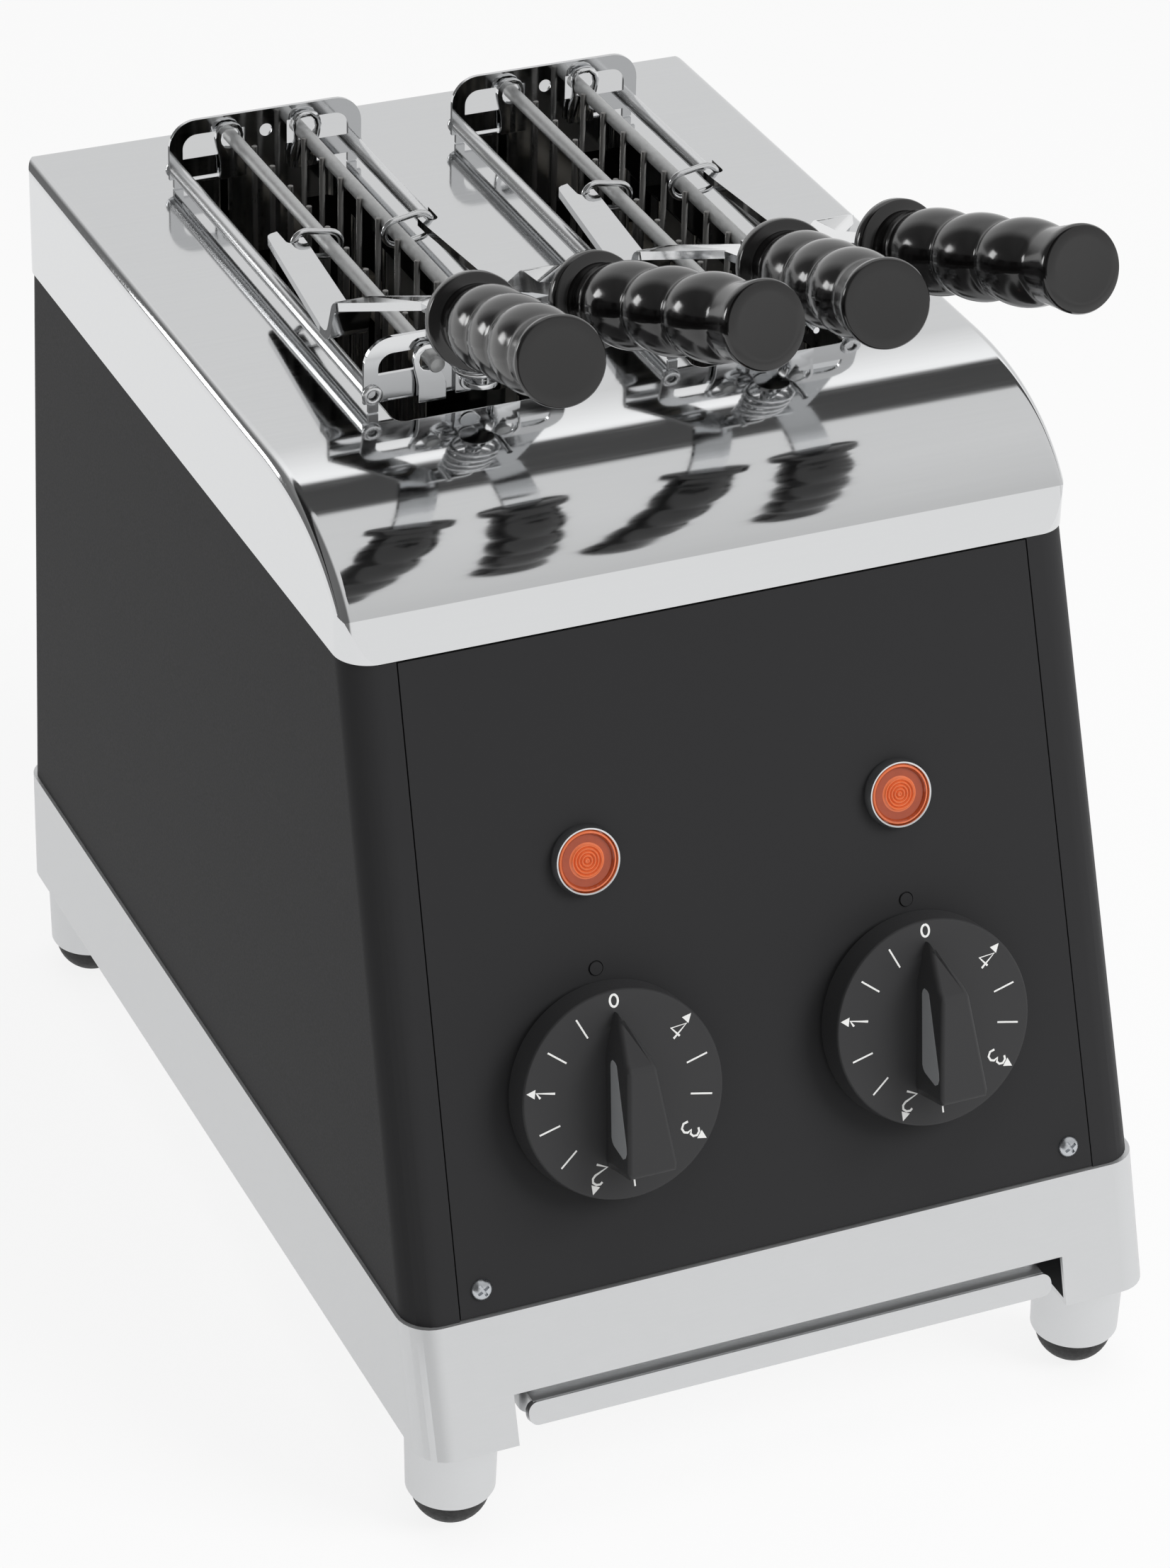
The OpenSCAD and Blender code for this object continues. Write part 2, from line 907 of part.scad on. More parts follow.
module insert() {
    color(satin)
        translate([0, 0, skirt_gap + skirt_t])
            flank_plate(-0.1, 0.8);
}

module knob_left() {
    on_panel(-fit_x, knob_u)
        knob();
}

module insert_left() {
    on_panel(-fit_x, knob_u)
        insert();
}

module shaft_left() {
    on_panel(-fit_x, knob_u)
        shaft();
}

module knob_right() {
    on_panel(fit_x, knob_u)
        knob();
}

module insert_right() {
    on_panel(fit_x, knob_u)
        insert();
}

module shaft_right() {
    on_panel(fit_x, knob_u)
        shaft();
}

// Tong pieces, drawn round the slot middle with z = 0 on the cover
module plate_windows() {
    for (s = [-1, 1])
        flip(-s)
            round_rect(win_in, win_z0, win_out, win_z1, 3);
}

module rear_plate() {
    color(steel)
        translate([0, plate_rear, 0])
            front_sheet(plate_t)
                difference() {
                    union() {
                        round_rect(-rear_half, 0.3, rear_half, plate_top - 1, ear_r);
                        translate([-rear_half, 0.3])
                            square([2 * rear_half, ear_r]);
                        translate([-tongue_half, -tongue_deep])
                            square([2 * tongue_half, tongue_deep + over]);
                    }
                    plate_windows();
                    translate([0, rod_z + 2])
                        circle(r = 2.2);
                    rail_holes();
                }
}

module rail_holes() {
    for (s = [-1, 1])
        translate([s * rail_x, rail_z])
            circle(r = rail_r - 0.55);
}

module front_plate() {
    color(steel)
        translate([0, plate_front, 0])
            front_sheet(plate_t)
                difference() {
                    union() {
                        round_rect(-front_half, 2.4, front_half, plate_top, ear_r);
                        translate([-front_half, 2.4])
                            square([2 * front_half, ear_r]);
                        for (s = [-1, 1])
                            translate([s * (rail_x - 0.5) - 1.5, 0.3])
                                square([3, 4]);
                        translate([-tongue_half, -tongue_deep])
                            square([2 * tongue_half, tongue_deep + 4]);
                    }
                    plate_windows();
                    rail_holes();
                    translate([0, 6.4])
                        circle(r = 1.6);
                }
}

module rails() {
    color(steel)
        for (s = [-1, 1])
            translate([s * rail_x, 0, rail_z])
                difference() {
                    union() {
                        rod_along_y(rail_r, plate_front + plate_t, plate_rear);
                        rod_along_y(rail_r - 0.6, plate_front - 1.2, plate_rear + plate_t + 1.2);
                        rod_along_y(rail_r + 0.2, plate_front - 1.2, plate_front);
                        rod_along_y(rail_r + 0.2, plate_rear + plate_t, plate_rear + plate_t + 1.2);
                    }
                    rod_along_y(rail_r - 1.4, plate_front - 2, plate_rear + plate_t + 2);
                }
}

module pivot() {
    color(steel) {
        translate([-bracket_half, plate_front - bracket_t, 2.6])
            cube([2 * bracket_half, bracket_t, bracket_z + bracket_t - 2.6]);
        translate([-bracket_half, pivot_y, bracket_z])
            cube([2 * bracket_half, plate_front - pivot_y, bracket_t]);
        translate([0, pivot_y, bracket_z]) {
            cylinder(r = bracket_half + 1, h = bracket_t);
            cylinder(r = pin_r, h = pin_top + 1.4 - bracket_z);
            translate([0, 0, pin_top - bracket_z])
                cylinder(r = pin_r + 1.6, h = 1.4);
        }
        translate([0, 0, 6.4]) {
            rod_along_y(1.55, plate_front - bracket_t - 0.5, plate_front + plate_t + 0.8);
            rod_along_y(2.8, plate_front - bracket_t - 1.2, plate_front - bracket_t);
            rod_along_y(2.6, plate_front + plate_t, plate_front + plate_t + 1);
        }
    }
}

// Closed tube swept along points, six sides
function unit(v) = v / norm(v);
function tube_ring(p, t, r) = let (u = unit(cross(t, [0.03, 0.02, 1])), v = cross(u, t))
    [for (k = [0:5]) p + r * (cos(60 * k) * u + sin(60 * k) * v)];

module tube(points, r) {
    n = len(points);
    rings = [for (i = [0:n - 1])
        tube_ring(points[i], unit(points[min(i + 1, n - 1)] - points[max(i - 1, 0)]), r)];
    polyhedron([for (g = rings) each g], concat([[for (k = [0:5]) k]],
        [for (i = [0:n - 2]) for (k = [0:5]) let (a = i * 6 + k, b = i * 6 + (k + 1) % 6)
            each [[a, a + 6, b + 6], [a, b + 6, b]]],
        [[for (k = [5:-1:0]) (n - 1) * 6 + k]]));
}

module spring() {
    steps = (coil_turns - 0.5) * 8;
    leg = 10;
    turn = [for (i = [0:steps]) let (a = 45 * i)
        [coil_r * cos(a), pivot_y + coil_r * sin(a), coil_z0 + coil_pitch * i / 8]];
    first = turn[0] - [0, leg, 0];
    last = turn[steps] - [0, leg, 0];
    color(steel)
        tube(concat([first], turn, [last]), coil_wire);
}

// Bent line of a sheet, and its two sides
function bend(a, b, c, r) = let (u = b + r * unit(a - b), v = b + r * unit(c - b))
    [for (t = [0:0.25:1]) (1 - t) * (1 - t) * u + 2 * t * (1 - t) * b + t * t * v];
function quarter(v) = [-v[1], v[0]];
function line_side(p, d) = let (n = len(p)) [for (i = [0:n - 1]) let (
    k = max(i, 1),
    m = min(i, n - 2),
    u = quarter(unit(p[k] - p[k - 1])),
    v = quarter(unit(p[m + 1] - p[m])))
    p[i] + d * (u + v) / (1 + u * v)];

// Sheet plane of the front part of an arm, which carries the handle
module in_ramp() {
    translate(handle_at)
        rotate([-ramp, 0, 0])
            children();
}

function on_ramp(x, y) = [x + handle_x, (y - handle_y) / cos(ramp)];

module tang_outline(gap, run) {
    rotate(-ramp_splay)
        translate([-arm_w / 2 - gap, -tang - gap])
            square([arm_w + 2 * gap, tang + gap + run]);
}

// Front part: tang, strip past the pin and branch to the riser
module arm_front() {
    in_ramp()
        translate([0, 0, -arm_t / 2])
            linear_extrude(arm_t)
                offset(r = 1.5)
                    offset(delta = -1.5)
                        union() {
                            tang_outline(0, pivot_y - handle_y + 2);
                            polygon([on_ramp(-fold_out, fold_y - 4), on_ramp(-fold_out + 0.5, fold_y - 7),
                                on_ramp(-handle_x - 0.4, pivot_y + 0.5), on_ramp(-rod_x, pivot_y - 6),
                                on_ramp(-rod_x + 3.5, pivot_y + 2.5), on_ramp(-fold_in, fold_y - 4)]);
                        }
}

// Riser between the level rear part and the front part
module arm_riser() {
    rear = [fold_y + 6, strip_z];
    foot = [fold_y, strip_z];
    top = [fold_y - 4.4, ramp_z + (pivot_y - fold_y + 4.4) * tan(ramp)];
    front = top + 2.2 * [-1, tan(ramp)];
    path = concat([rear], bend(rear, foot, top, 3.2), bend(foot, top, front, 2), [front]);
    n = len(path);
    under = line_side(path, arm_t / 2);
    upper = line_side(path, -arm_t / 2);
    translate([-fold_out, 0, 0])
        rotate([90, 0, 90])
            linear_extrude(arm_w)
                polygon(concat(under, [for (i = [n - 1:-1:0]) upper[i]]));
}

// Rear part: level strip with a prong and an open notch for the link
module arm_rear() {
    lip = link_out + 2.5;
    prong = hook_x + 1.9;
    notch = (prong - lip) / 2;
    translate([0, 0, strip_z - arm_t / 2])
        linear_extrude(arm_t)
            difference() {
                polygon([[-fold_out, fold_y + 4], [-prong - 4, link_y + 4.6], [-prong - 3.4, link_y + 6],
                    [-prong - 2.4, link_y + 6.8], [-prong, link_y + 7.6], [-lip, link_y + 1.8],
                    [-lip + 1.8, link_y + 1.4], [-lip + 1.6, link_y - 3], [-fold_in, fold_y + 4]]);
                translate([-lip - notch, link_y + 0.6]) {
                    circle(r = notch);
                    translate([-notch, 0])
                        square([2 * notch, 10]);
                }
            }
}

// Arm, left arm at negative x; low arms pass under high ones at the pin
module arm(s) {
    drop = s > 0 ? lug_step : 0;
    z = lug_low + lug_step - drop;
    color(steel)
        flip(s)
            difference() {
                union() {
                    arm_front();
                    arm_riser();
                    arm_rear();
                    translate([0, pivot_y, z]) {
                        cylinder(r = pin_r + 2.6, h = lug_h);
                        translate([-rod_x, -pin_r - 2.6, 0])
                            cube([rod_x, 2 * pin_r + 5.2, lug_h]);
                        if (drop > 0)
                            translate([-rod_x, -0.5, 0])
                                cube([2.2, 6, ramp_z - 0.9 - z]);
                    }
                }
                translate([0, pivot_y, z - over])
                    cylinder(r = pin_r + run_gap, h = lug_h + 2 * over);
            }
}

module handle_profile() {
    intersection() {
        union() {
            square([groove_r - 0.6, handle_l - 2]);
            translate([0, 0.8])
                square([flange_r, flange_h - 1.6]);
            square([flange_r - 0.8, flange_h]);
            for (k = [0:2])
                translate([handle_r - 20, bulge_first + k * bulge_pitch])
                    circle(r = 20);
            polygon([[0, bulge_first + 2.5 * bulge_pitch], [groove_r, bulge_first + 2.5 * bulge_pitch],
                [handle_r - 0.3, handle_l - 4], [handle_r + 0.1, handle_l - 1.5], [handle_r - 0.9, handle_l],
                [0, handle_l]]);
            translate([0, flange_h + 3])
                square([groove_r + 0.6, 6]);
        }
        square([40, handle_l]);
    }
}

module handle(s) {
    color(bakelite)
        flip(s)
            difference() {
                translate(handle_at)
                    rotate([0, 0, -handle_splay])
                        rotate([90 - handle_tilt, 0, 0])
                            rotate_extrude()
                                handle_profile();
                in_ramp()
                    translate([0, 0, -arm_t / 2 - tang_gap])
                        linear_extrude(arm_t + 2 * tang_gap)
                            tang_outline(tang_gap, 6);
            }
}

// Closed link round the rod and in the notch of the arm
module link(s) {
    color(steel)
        flip(s)
            translate([-rod_x, link_y, rod_z])
                rotate([90, link_tilt, 0]) {
                    rotate([0, 0, -90])
                        rotate_extrude(angle = 180)
                            translate([link_r, 0])
                                circle(r = link_wire, $fn = 24);
                    translate([-link_span, 0, 0])
                        rotate([0, 0, 90])
                            rotate_extrude(angle = 180)
                                translate([link_r, 0])
                                    circle(r = link_wire, $fn = 24);
                    for (m = [-1, 1])
                        translate([-link_span, m * link_r, 0])
                            rotate([0, 90, 0])
                                cylinder(r = link_wire, h = link_span, $fn = 24);
                }
}

module lug(y) {
    translate([0, y, 0])
        front_sheet(lug_t)
            union() {
                translate([-rod_x, rod_z])
                    circle(r = lug_r);
                translate([-lug_tail1, 2])
                    square([lug_tail1 - lug_tail0, rod_z - 2]);
            }
}

module grid(s) {
    color(wire_grey)
        flip(s) {
            translate([-rod_x, 0, rod_z])
                rod_along_y(rod_r, plate_front - 5, plate_rear + plate_t + 2);
            lug(plate_front - lug_gap - lug_t);
            lug(plate_rear - lug_gap - lug_t);
            for (i = [0:wire_n - 1])
                translate([-wire_x, wire_y0 + i * wire_pitch, -grid_deep]) {
                    cylinder(r = wire_r, h = grid_deep + rod_z + 3.4, $fn = 24);
                    rotate([0, 90, 0])
                        cylinder(r = wire_r * 0.96, h = hook_l, $fn = 24);
                }
            translate([-wire_x - wire_r, 0, -grid_deep + 6])
                rod_along_y(wire_r, wire_y0 - 4, wire_y0 + (wire_n - 1) * wire_pitch + 4);
        }
}

module tl_rear_plate() {
    in_tong(-1)
        rear_plate();
}

module tl_front_plate() {
    in_tong(-1)
        front_plate();
}

module tl_rails() {
    in_tong(-1)
        rails();
}

module tl_pivot() {
    in_tong(-1)
        pivot();
}

module tl_spring() {
    in_tong(-1)
        spring();
}

module tl_arm_left() {
    in_tong(-1)
        arm(-1);
}

module tl_arm_right() {
    in_tong(-1)
        arm(1);
}

module tl_handle_left() {
    in_tong(-1)
        handle(-1);
}

module tl_handle_right() {
    in_tong(-1)
        handle(1);
}

module tl_link_left() {
    in_tong(-1)
        link(-1);
}

module tl_link_right() {
    in_tong(-1)
        link(1);
}

module tl_grid_left() {
    in_tong(-1)
        grid(-1);
}

module tl_grid_right() {
    in_tong(-1)
        grid(1);
}

module tr_rear_plate() {
    in_tong(1)
        rear_plate();
}

module tr_front_plate() {
    in_tong(1)
        front_plate();
}

module tr_rails() {
    in_tong(1)
        rails();
}

module tr_pivot() {
    in_tong(1)
        pivot();
}

module tr_spring() {
    in_tong(1)
        spring();
}

module tr_arm_left() {
    in_tong(1)
        arm(-1);
}

module tr_arm_right() {
    in_tong(1)
        arm(1);
}

module tr_handle_left() {
    in_tong(1)
        handle(-1);
}

module tr_handle_right() {
    in_tong(1)
        handle(1);
}

module tr_link_left() {
    in_tong(1)
        link(-1);
}

module tr_link_right() {
    in_tong(1)
        link(1);
}

module tr_grid_left() {
    in_tong(1)
        grid(-1);
}

module tr_grid_right() {
    in_tong(1)
        grid(1);
}

top_cover();
body_shell();
front_panel();
base_frame();
deck_plate();
foot_sleeves();
foot_tips();
foot_bolts();
tray_runners();
panel_screws();
rear_screws();
lamp_bezels();
lamp_lenses();
lamp_bodies();
timer_units();
chamber_left();
chamber_right();
guard_wires();
heater_tubes();
heater_caps();
reflectors();
terminal_block();
cable_gland();
crumb_tray();
knob_left();
insert_left();
shaft_left();
knob_right();
insert_right();
shaft_right();
tl_rear_plate();
tl_front_plate();
tl_rails();
tl_pivot();
tl_spring();
tl_arm_left();
tl_arm_right();
tl_handle_left();
tl_handle_right();
tl_link_left();
tl_link_right();
tl_grid_left();
tl_grid_right();
tr_rear_plate();
tr_front_plate();
tr_rails();
tr_pivot();
tr_spring();
tr_arm_left();
tr_arm_right();
tr_handle_left();
tr_handle_right();
tr_link_left();
tr_link_right();
tr_grid_left();
tr_grid_right();
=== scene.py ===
import json
import math

import bpy
from bpy.props import FloatProperty, FloatVectorProperty, PointerProperty
from mathutils import Matrix, Vector


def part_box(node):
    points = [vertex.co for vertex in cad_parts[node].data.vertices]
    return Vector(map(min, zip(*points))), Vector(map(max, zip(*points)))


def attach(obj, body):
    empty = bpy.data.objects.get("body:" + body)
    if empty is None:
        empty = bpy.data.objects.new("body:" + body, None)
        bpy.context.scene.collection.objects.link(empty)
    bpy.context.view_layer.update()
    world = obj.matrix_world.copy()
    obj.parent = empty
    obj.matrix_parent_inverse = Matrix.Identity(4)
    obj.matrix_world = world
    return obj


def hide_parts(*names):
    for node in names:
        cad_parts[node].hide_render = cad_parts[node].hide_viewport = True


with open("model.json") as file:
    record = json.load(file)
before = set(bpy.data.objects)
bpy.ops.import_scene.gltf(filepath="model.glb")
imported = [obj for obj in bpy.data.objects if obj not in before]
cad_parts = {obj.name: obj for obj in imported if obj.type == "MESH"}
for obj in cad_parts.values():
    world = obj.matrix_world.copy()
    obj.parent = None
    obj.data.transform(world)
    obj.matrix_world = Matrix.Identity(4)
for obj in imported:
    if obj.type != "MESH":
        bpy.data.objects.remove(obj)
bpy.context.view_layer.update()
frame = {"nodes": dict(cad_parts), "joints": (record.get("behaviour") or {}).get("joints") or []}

bl_info = {
    "name": "Tong toaster",
    "version": (1, 0, 0),
    "blender": (4, 5, 0),
    "location": "View3D > Sidebar > Toaster",
    "description": "Dresses the packed two-slot tong toaster and sets its studio",
    "category": "Add Mesh",
}

# Shared measures: all drawing is in millimetres, Blender works in metres, and places within TOUCH are one
MM = 0.001
TOUCH = 0.01
NODES = frame["nodes"]
JOINTS = {joint["name"]: joint for joint in frame["joints"]}
SIDES = (("left", -1), ("right", 1))
COVER_LOW, COVER_HIGH = (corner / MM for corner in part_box("top_cover"))

# The panel leans as the dial axes do, and heights on it run up its slope
LEAN = math.asin(-JOINTS["dial_left_turn"]["axis"][2])
PANEL_NORMAL = -Vector(JOINTS["dial_left_turn"]["axis"]).normalized()
PANEL_UP = Vector((1, 0, 0)).cross(PANEL_NORMAL) * -1
BASE_TOP, SCREW_UP, DIAL_UP, STUD_UP, LAMP_UP = 71, 8, 58.2, 92.5, 124.1

# Middle of a tong, and the grid rods from that middle and the cover's top
TONG_X, ROD_X, ROD_Z = 46, 10.7, 14

# Lays a turned piece down, with its axis to the rear
ALONG_Y = Matrix.Rotation(-math.pi / 2, 4, "X")


def linear(code):
    """Linear colour of an sRGB hex code."""
    parts = [int(code[i:i + 2], 16) / 255 for i in (1, 3, 5)]
    return tuple(c / 12.92 if c <= 0.04045 else ((c + 0.055) / 1.055) ** 2.4 for c in parts)


def length(name, text, millimetres):
    return FloatProperty(name=name, description=text, default=millimetres * MM, unit="LENGTH", precision=5)


def colour(name, text, code):
    return FloatVectorProperty(name=name, description=text, default=linear(code), subtype="COLOR",
                               min=0, max=1)


class ToasterSizes(bpy.types.PropertyGroup):
    """Sizes that a user would change"""
    band: length("Front band", "Height of the straight band under the front curve of the cover", 12.3)
    run: length("Curve run", "Horizontal run of the front curve of the cover", 60)
    aim: length("Curve aim", "Distance behind the crease at which both ends of the curve aim", 17.3)
    corner: length("Corner", "Radius of the upright corners", 10)
    cover_edge: length("Cover edge", "Radius of the upper edge of the cover", 3.8)
    sheet: length("Sheet", "Thickness of the cover sheet", 1.2)
    knob: length("Knob", "Radius of a knob skirt", 31)
    bezel: length("Bezel", "Radius of a lamp bezel", 10.3)
    grip: length("Handle", "Largest radius of a handle bulge", 12.1)
    rail: length("Rail", "Radius of a tong rail", 2.3)
    rod: length("Grid rod", "Radius of a grid rod", 2.15)
    wire: length("Grid wire", "Radius of a grid wire", 0.9)


class ToasterColours(bpy.types.PropertyGroup):
    """Colours that a user would change"""
    steel: colour("Polished steel", "Cover, tong plates and arms", "#DCDDDE")
    satin: colour("Satin steel", "Base frame, feet and tray", "#DADBDC")
    paint: colour("Black paint", "Body shell and front panel", "#323233")
    moulding: colour("Knob plastic", "Skirts and grips of the knobs", "#343435")
    handle: colour("Handle", "Grips of the tongs", "#0E0D0D")
    print: colour("Print", "Scale marks on the knobs", "#F4F4F2")
    pointer: colour("Pointer", "Insert in the flank of a knob grip", "#A2A4A6")
    lens: colour("Lens", "Rings of an amber lamp lens", "#EA7644")
    # The lens rim colour is the lens colour darkened as painted shade
    lens_rim: colour("Lens rim", "Deep flat ring of an amber lamp lens", "#B24C26")
    rubber: colour("Rubber", "Foot tips", "#191919")
    zinc: colour("Zinc coating", "Grid rods", "#C0C1C1")


def sizes():
    return bpy.context.scene.toaster_sizes


def colours():
    return bpy.context.scene.toaster_colours


# Hand tools


def leave_edit():
    bpy.ops.object.mode_set(mode="OBJECT")


def rest_hands():
    """Leaves edit mode and deselects everything."""
    if bpy.context.object and bpy.context.object.mode != "OBJECT":
        leave_edit()
    bpy.ops.object.select_all(action="DESELECT")


def pick(obj):
    """Selects one object alone and makes it active."""
    rest_hands()
    obj.select_set(True)
    bpy.context.view_layer.objects.active = obj
    return obj


def edit_all(obj):
    """Edit mode with everything selected."""
    pick(obj)
    bpy.ops.object.mode_set(mode="EDIT")
    bpy.ops.mesh.select_all(action="SELECT")


def choose(obj, kind, test):
    """Edit mode with just the vertices, edges or faces selected that pass the test."""
    pick(obj)
    bpy.ops.object.mode_set(mode="EDIT")
    bpy.ops.mesh.select_mode(type=kind)
    bpy.ops.mesh.select_all(action="DESELECT")
    leave_edit()
    mesh = obj.data
    for part in {"VERT": mesh.vertices, "EDGE": mesh.edges, "FACE": mesh.polygons}[kind]:
        part.select = bool(test(mesh, part))
    bpy.ops.object.mode_set(mode="EDIT")


def ends(mesh, edge):
    """The two end points of an edge, in millimetres."""
    return [mesh.vertices[i].co / MM for i in edge.vertices]


def box_of(node):
    """The low and the high corner of a CAD node, in millimetres."""
    return [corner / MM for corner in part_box(node)]


def sweep(whole, steps):
    """Even steps from nothing to the whole."""
    return [whole * i / steps for i in range(steps + 1)]


def named(obj, name):
    obj.name = name
    obj.data.name = name
    return obj


def scrap(*pieces):
    """Removes pieces that were only models for their copies."""
    for piece in pieces:
        bpy.data.objects.remove(piece)


def draw(name, points, closed=False):
    """Straight steps through points in millimetres, extruded from a vertex; a closed line gets a face."""
    rest_hands()
    bpy.ops.mesh.primitive_plane_add(size=MM)
    obj = named(bpy.context.object, name)
    bpy.ops.object.mode_set(mode="EDIT")
    bpy.ops.mesh.select_mode(type="VERT")
    bpy.ops.mesh.merge(type="CENTER")
    path = [Vector(p) * MM for p in points]
    bpy.ops.transform.translate(value=path[0])
    for here, there in zip(path, path[1:]):
        bpy.ops.mesh.extrude_vertices_move(TRANSFORM_OT_translate={"value": there - here})
    if closed:
        bpy.ops.mesh.select_all(action="SELECT")
        bpy.ops.mesh.edge_face_add()
    leave_edit()
    return obj


def close_up(obj):
    """Merges doubles and turns all faces outwards."""
    edit_all(obj)
    bpy.ops.mesh.remove_doubles(threshold=1e-6)
    bpy.ops.mesh.normals_make_consistent(inside=False)
    leave_edit()
    return obj


def turned(name, profile, steps=64):
    """Turned piece: a profile of radius and height, spun about the upright axis."""
    obj = draw(name, [(r, 0, z) for r, z in profile])
    edit_all(obj)
    bpy.ops.mesh.spin(steps=steps, angle=2 * math.pi, center=(0, 0, 0), axis=(0, 0, 1))
    return close_up(obj)


def plate(name, outline, rise):
    """Flat outline in x and y, or in space, extruded along a rise in millimetres."""
    obj = draw(name, [(*p, 0) if len(p) == 2 else p for p in outline], closed=True)
    edit_all(obj)
    bpy.ops.mesh.extrude_region_move(TRANSFORM_OT_translate={"value": Vector(rise) * MM})
    return close_up(obj)


def round_edges(obj, test, radius, steps, **more):
    """Rounds the edges that pass the test."""
    choose(obj, "EDGE", test)
    bpy.ops.mesh.bevel(offset=radius * MM, segments=steps, affect="EDGES", **more)
    leave_edit()


def block(name, low, high, radius, steps=12):
    """Upright block between two corners, with its upright edges rounded."""
    rest_hands()
    low, high = Vector(low) * MM, Vector(high) * MM
    bpy.ops.mesh.primitive_cube_add(size=1, location=(low + high) / 2, scale=high - low)
    obj = named(bpy.context.object, name)
    bpy.ops.object.transform_apply(location=True, rotation=True, scale=True)
    if radius:
        round_edges(obj, lambda m, e: abs(ends(m, e)[0].z - ends(m, e)[1].z) > TOUCH, radius, steps)
    return obj


def wire(name, points, radius, closed=False, sides=3):
    """Round wire along points in millimetres."""
    obj = draw(name, [*points, points[0]] if closed else points)
    if closed:
        close_up(obj)
    pick(obj)
    bpy.ops.object.convert(target="CURVE")
    obj = bpy.context.object
    obj.data.bevel_depth = radius * MM
    obj.data.bevel_resolution = sides
    obj.data.use_fill_caps = True
    bpy.ops.object.convert(target="MESH")
    return close_up(named(bpy.context.object, name))


def modify(obj, kind, **settings):
    """Adds a modifier with its settings and applies it."""
    pick(obj)
    modifier = obj.modifiers.new(kind.lower(), kind)
    for key, value in settings.items():
        setattr(modifier, key, value)
    bpy.ops.object.modifier_apply(modifier=modifier.name)
    return obj


def cut(obj, tool, operation="DIFFERENCE"):
    """Boolean with a tool body, which is used up."""
    modify(obj, "BOOLEAN", object=tool, operation=operation, solver="EXACT")
    scrap(tool)
    return close_up(obj)


def soften(obj, radius, angle=35, steps=2):
    """Rounds the edges that are sharper than an angle."""
    return modify(obj, "BEVEL", width=radius * MM, segments=steps, limit_method="ANGLE",
                  angle_limit=math.radians(angle), use_clamp_overlap=True)


def smooth(obj, angle=30):
    """Smooth shading with crisp edges and flats that stay flat."""
    pick(obj)
    bpy.ops.object.shade_smooth_by_angle(angle=math.radians(angle))
    return modify(obj, "WEIGHTED_NORMAL", keep_sharp=True)


def seat(obj, matrix):
    """Puts a piece in its place, with the place in its mesh."""
    pick(obj)
    obj.matrix_world = matrix
    bpy.ops.object.transform_apply(location=True, rotation=True, scale=True)
    return obj


def fresh_copy(obj, name):
    """Copy of an object with its own mesh."""
    copy = obj.copy()
    copy.data = obj.data.copy()
    bpy.context.scene.collection.objects.link(copy)
    return named(copy, name)


def twin(obj, name, matrix):
    """Copy of a piece in its place; a mirrored one has its faces turned back outwards."""
    copy = seat(fresh_copy(obj, name), matrix)
    if matrix.determinant() < 0:
        edit_all(copy)
        bpy.ops.mesh.flip_normals()
        leave_edit()
    return copy


def joined(name, parts):
    """One piece from several, each keeping its finish."""
    pick(parts[0])
    for part in parts[1:]:
        part.select_set(True)
    bpy.ops.object.join()
    return named(bpy.context.object, name)


def dressed_copy(node, name, radius, angle=35, steps=2):
    """Merged copy of a CAD node with its edges rounded."""
    obj = fresh_copy(NODES[node], name)
    obj.parent = None
    for key in list(obj.keys()):
        del obj[key]
    obj.data.materials.clear()
    pick(obj)
    bpy.ops.mesh.customdata_custom_splitnormals_clear()
    edit_all(obj)
    bpy.ops.mesh.remove_doubles(threshold=1e-5)
    bpy.ops.mesh.dissolve_limited(angle_limit=math.radians(0.7))
    leave_edit()
    soften(obj, radius, angle, steps)
    return smooth(obj)


def coat(obj, *makes):
    """Gives a piece its finishes, in order."""
    obj.data.materials.clear()
    for make in makes:
        obj.data.materials.append(finish(make))
    return obj


def hand_over(obj, make, body, slot, *nodes):
    """Gives a finished piece its finish and its body, and hides the nodes that it stands for; the slot
    argument is not used.
    """
    if make:
        coat(obj, make)
    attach(obj, body)
    if nodes:
        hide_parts(*nodes)
    return obj


def moved(x=0, y=0, z=0):
    return Matrix.Translation(Vector((x, y, z)) * MM)


def arm_places(tong_side):
    """The arms of a tong, each with the place of its left-hand drawing on the cover."""
    middle = moved(tong_side * TONG_X, 0, COVER_HIGH.z)
    return [(arm, middle @ Matrix.Scale(-side, 4, (1, 0, 0))) for arm, side in SIDES]


def on_panel(point):
    """Frame with x to the right, y up the panel and z out of it, at a point in metres."""
    frame_at = Matrix((Vector((1, 0, 0)), PANEL_UP, PANEL_NORMAL)).transposed().to_4x4()
    frame_at.translation = Vector(point)
    return frame_at


def over_dial(side_name, height):
    """Frame on the panel in line with a dial, at a height up the slope."""
    dial = Vector(JOINTS[f"dial_{side_name}_turn"]["pos_m"])
    return on_panel(dial + (height - DIAL_UP) * MM * PANEL_UP)


# Materials


MADE = {}


def finish(make):
    """The material that a function makes, made once."""
    key = make.__name__
    if key not in MADE:
        MADE[key] = make()
    return MADE[key]


def add(tree, kind, sockets=None, **settings):
    """Adds a node with its settings; sockets gives values or the outputs to link."""
    made = tree.nodes.new(kind)
    for key, value in settings.items():
        setattr(made, key, value)
    for key, value in (sockets or {}).items():
        if isinstance(value, bpy.types.NodeSocket):
            tree.links.new(value, made.inputs[key])
        else:
            made.inputs[key].default_value = value
    return made


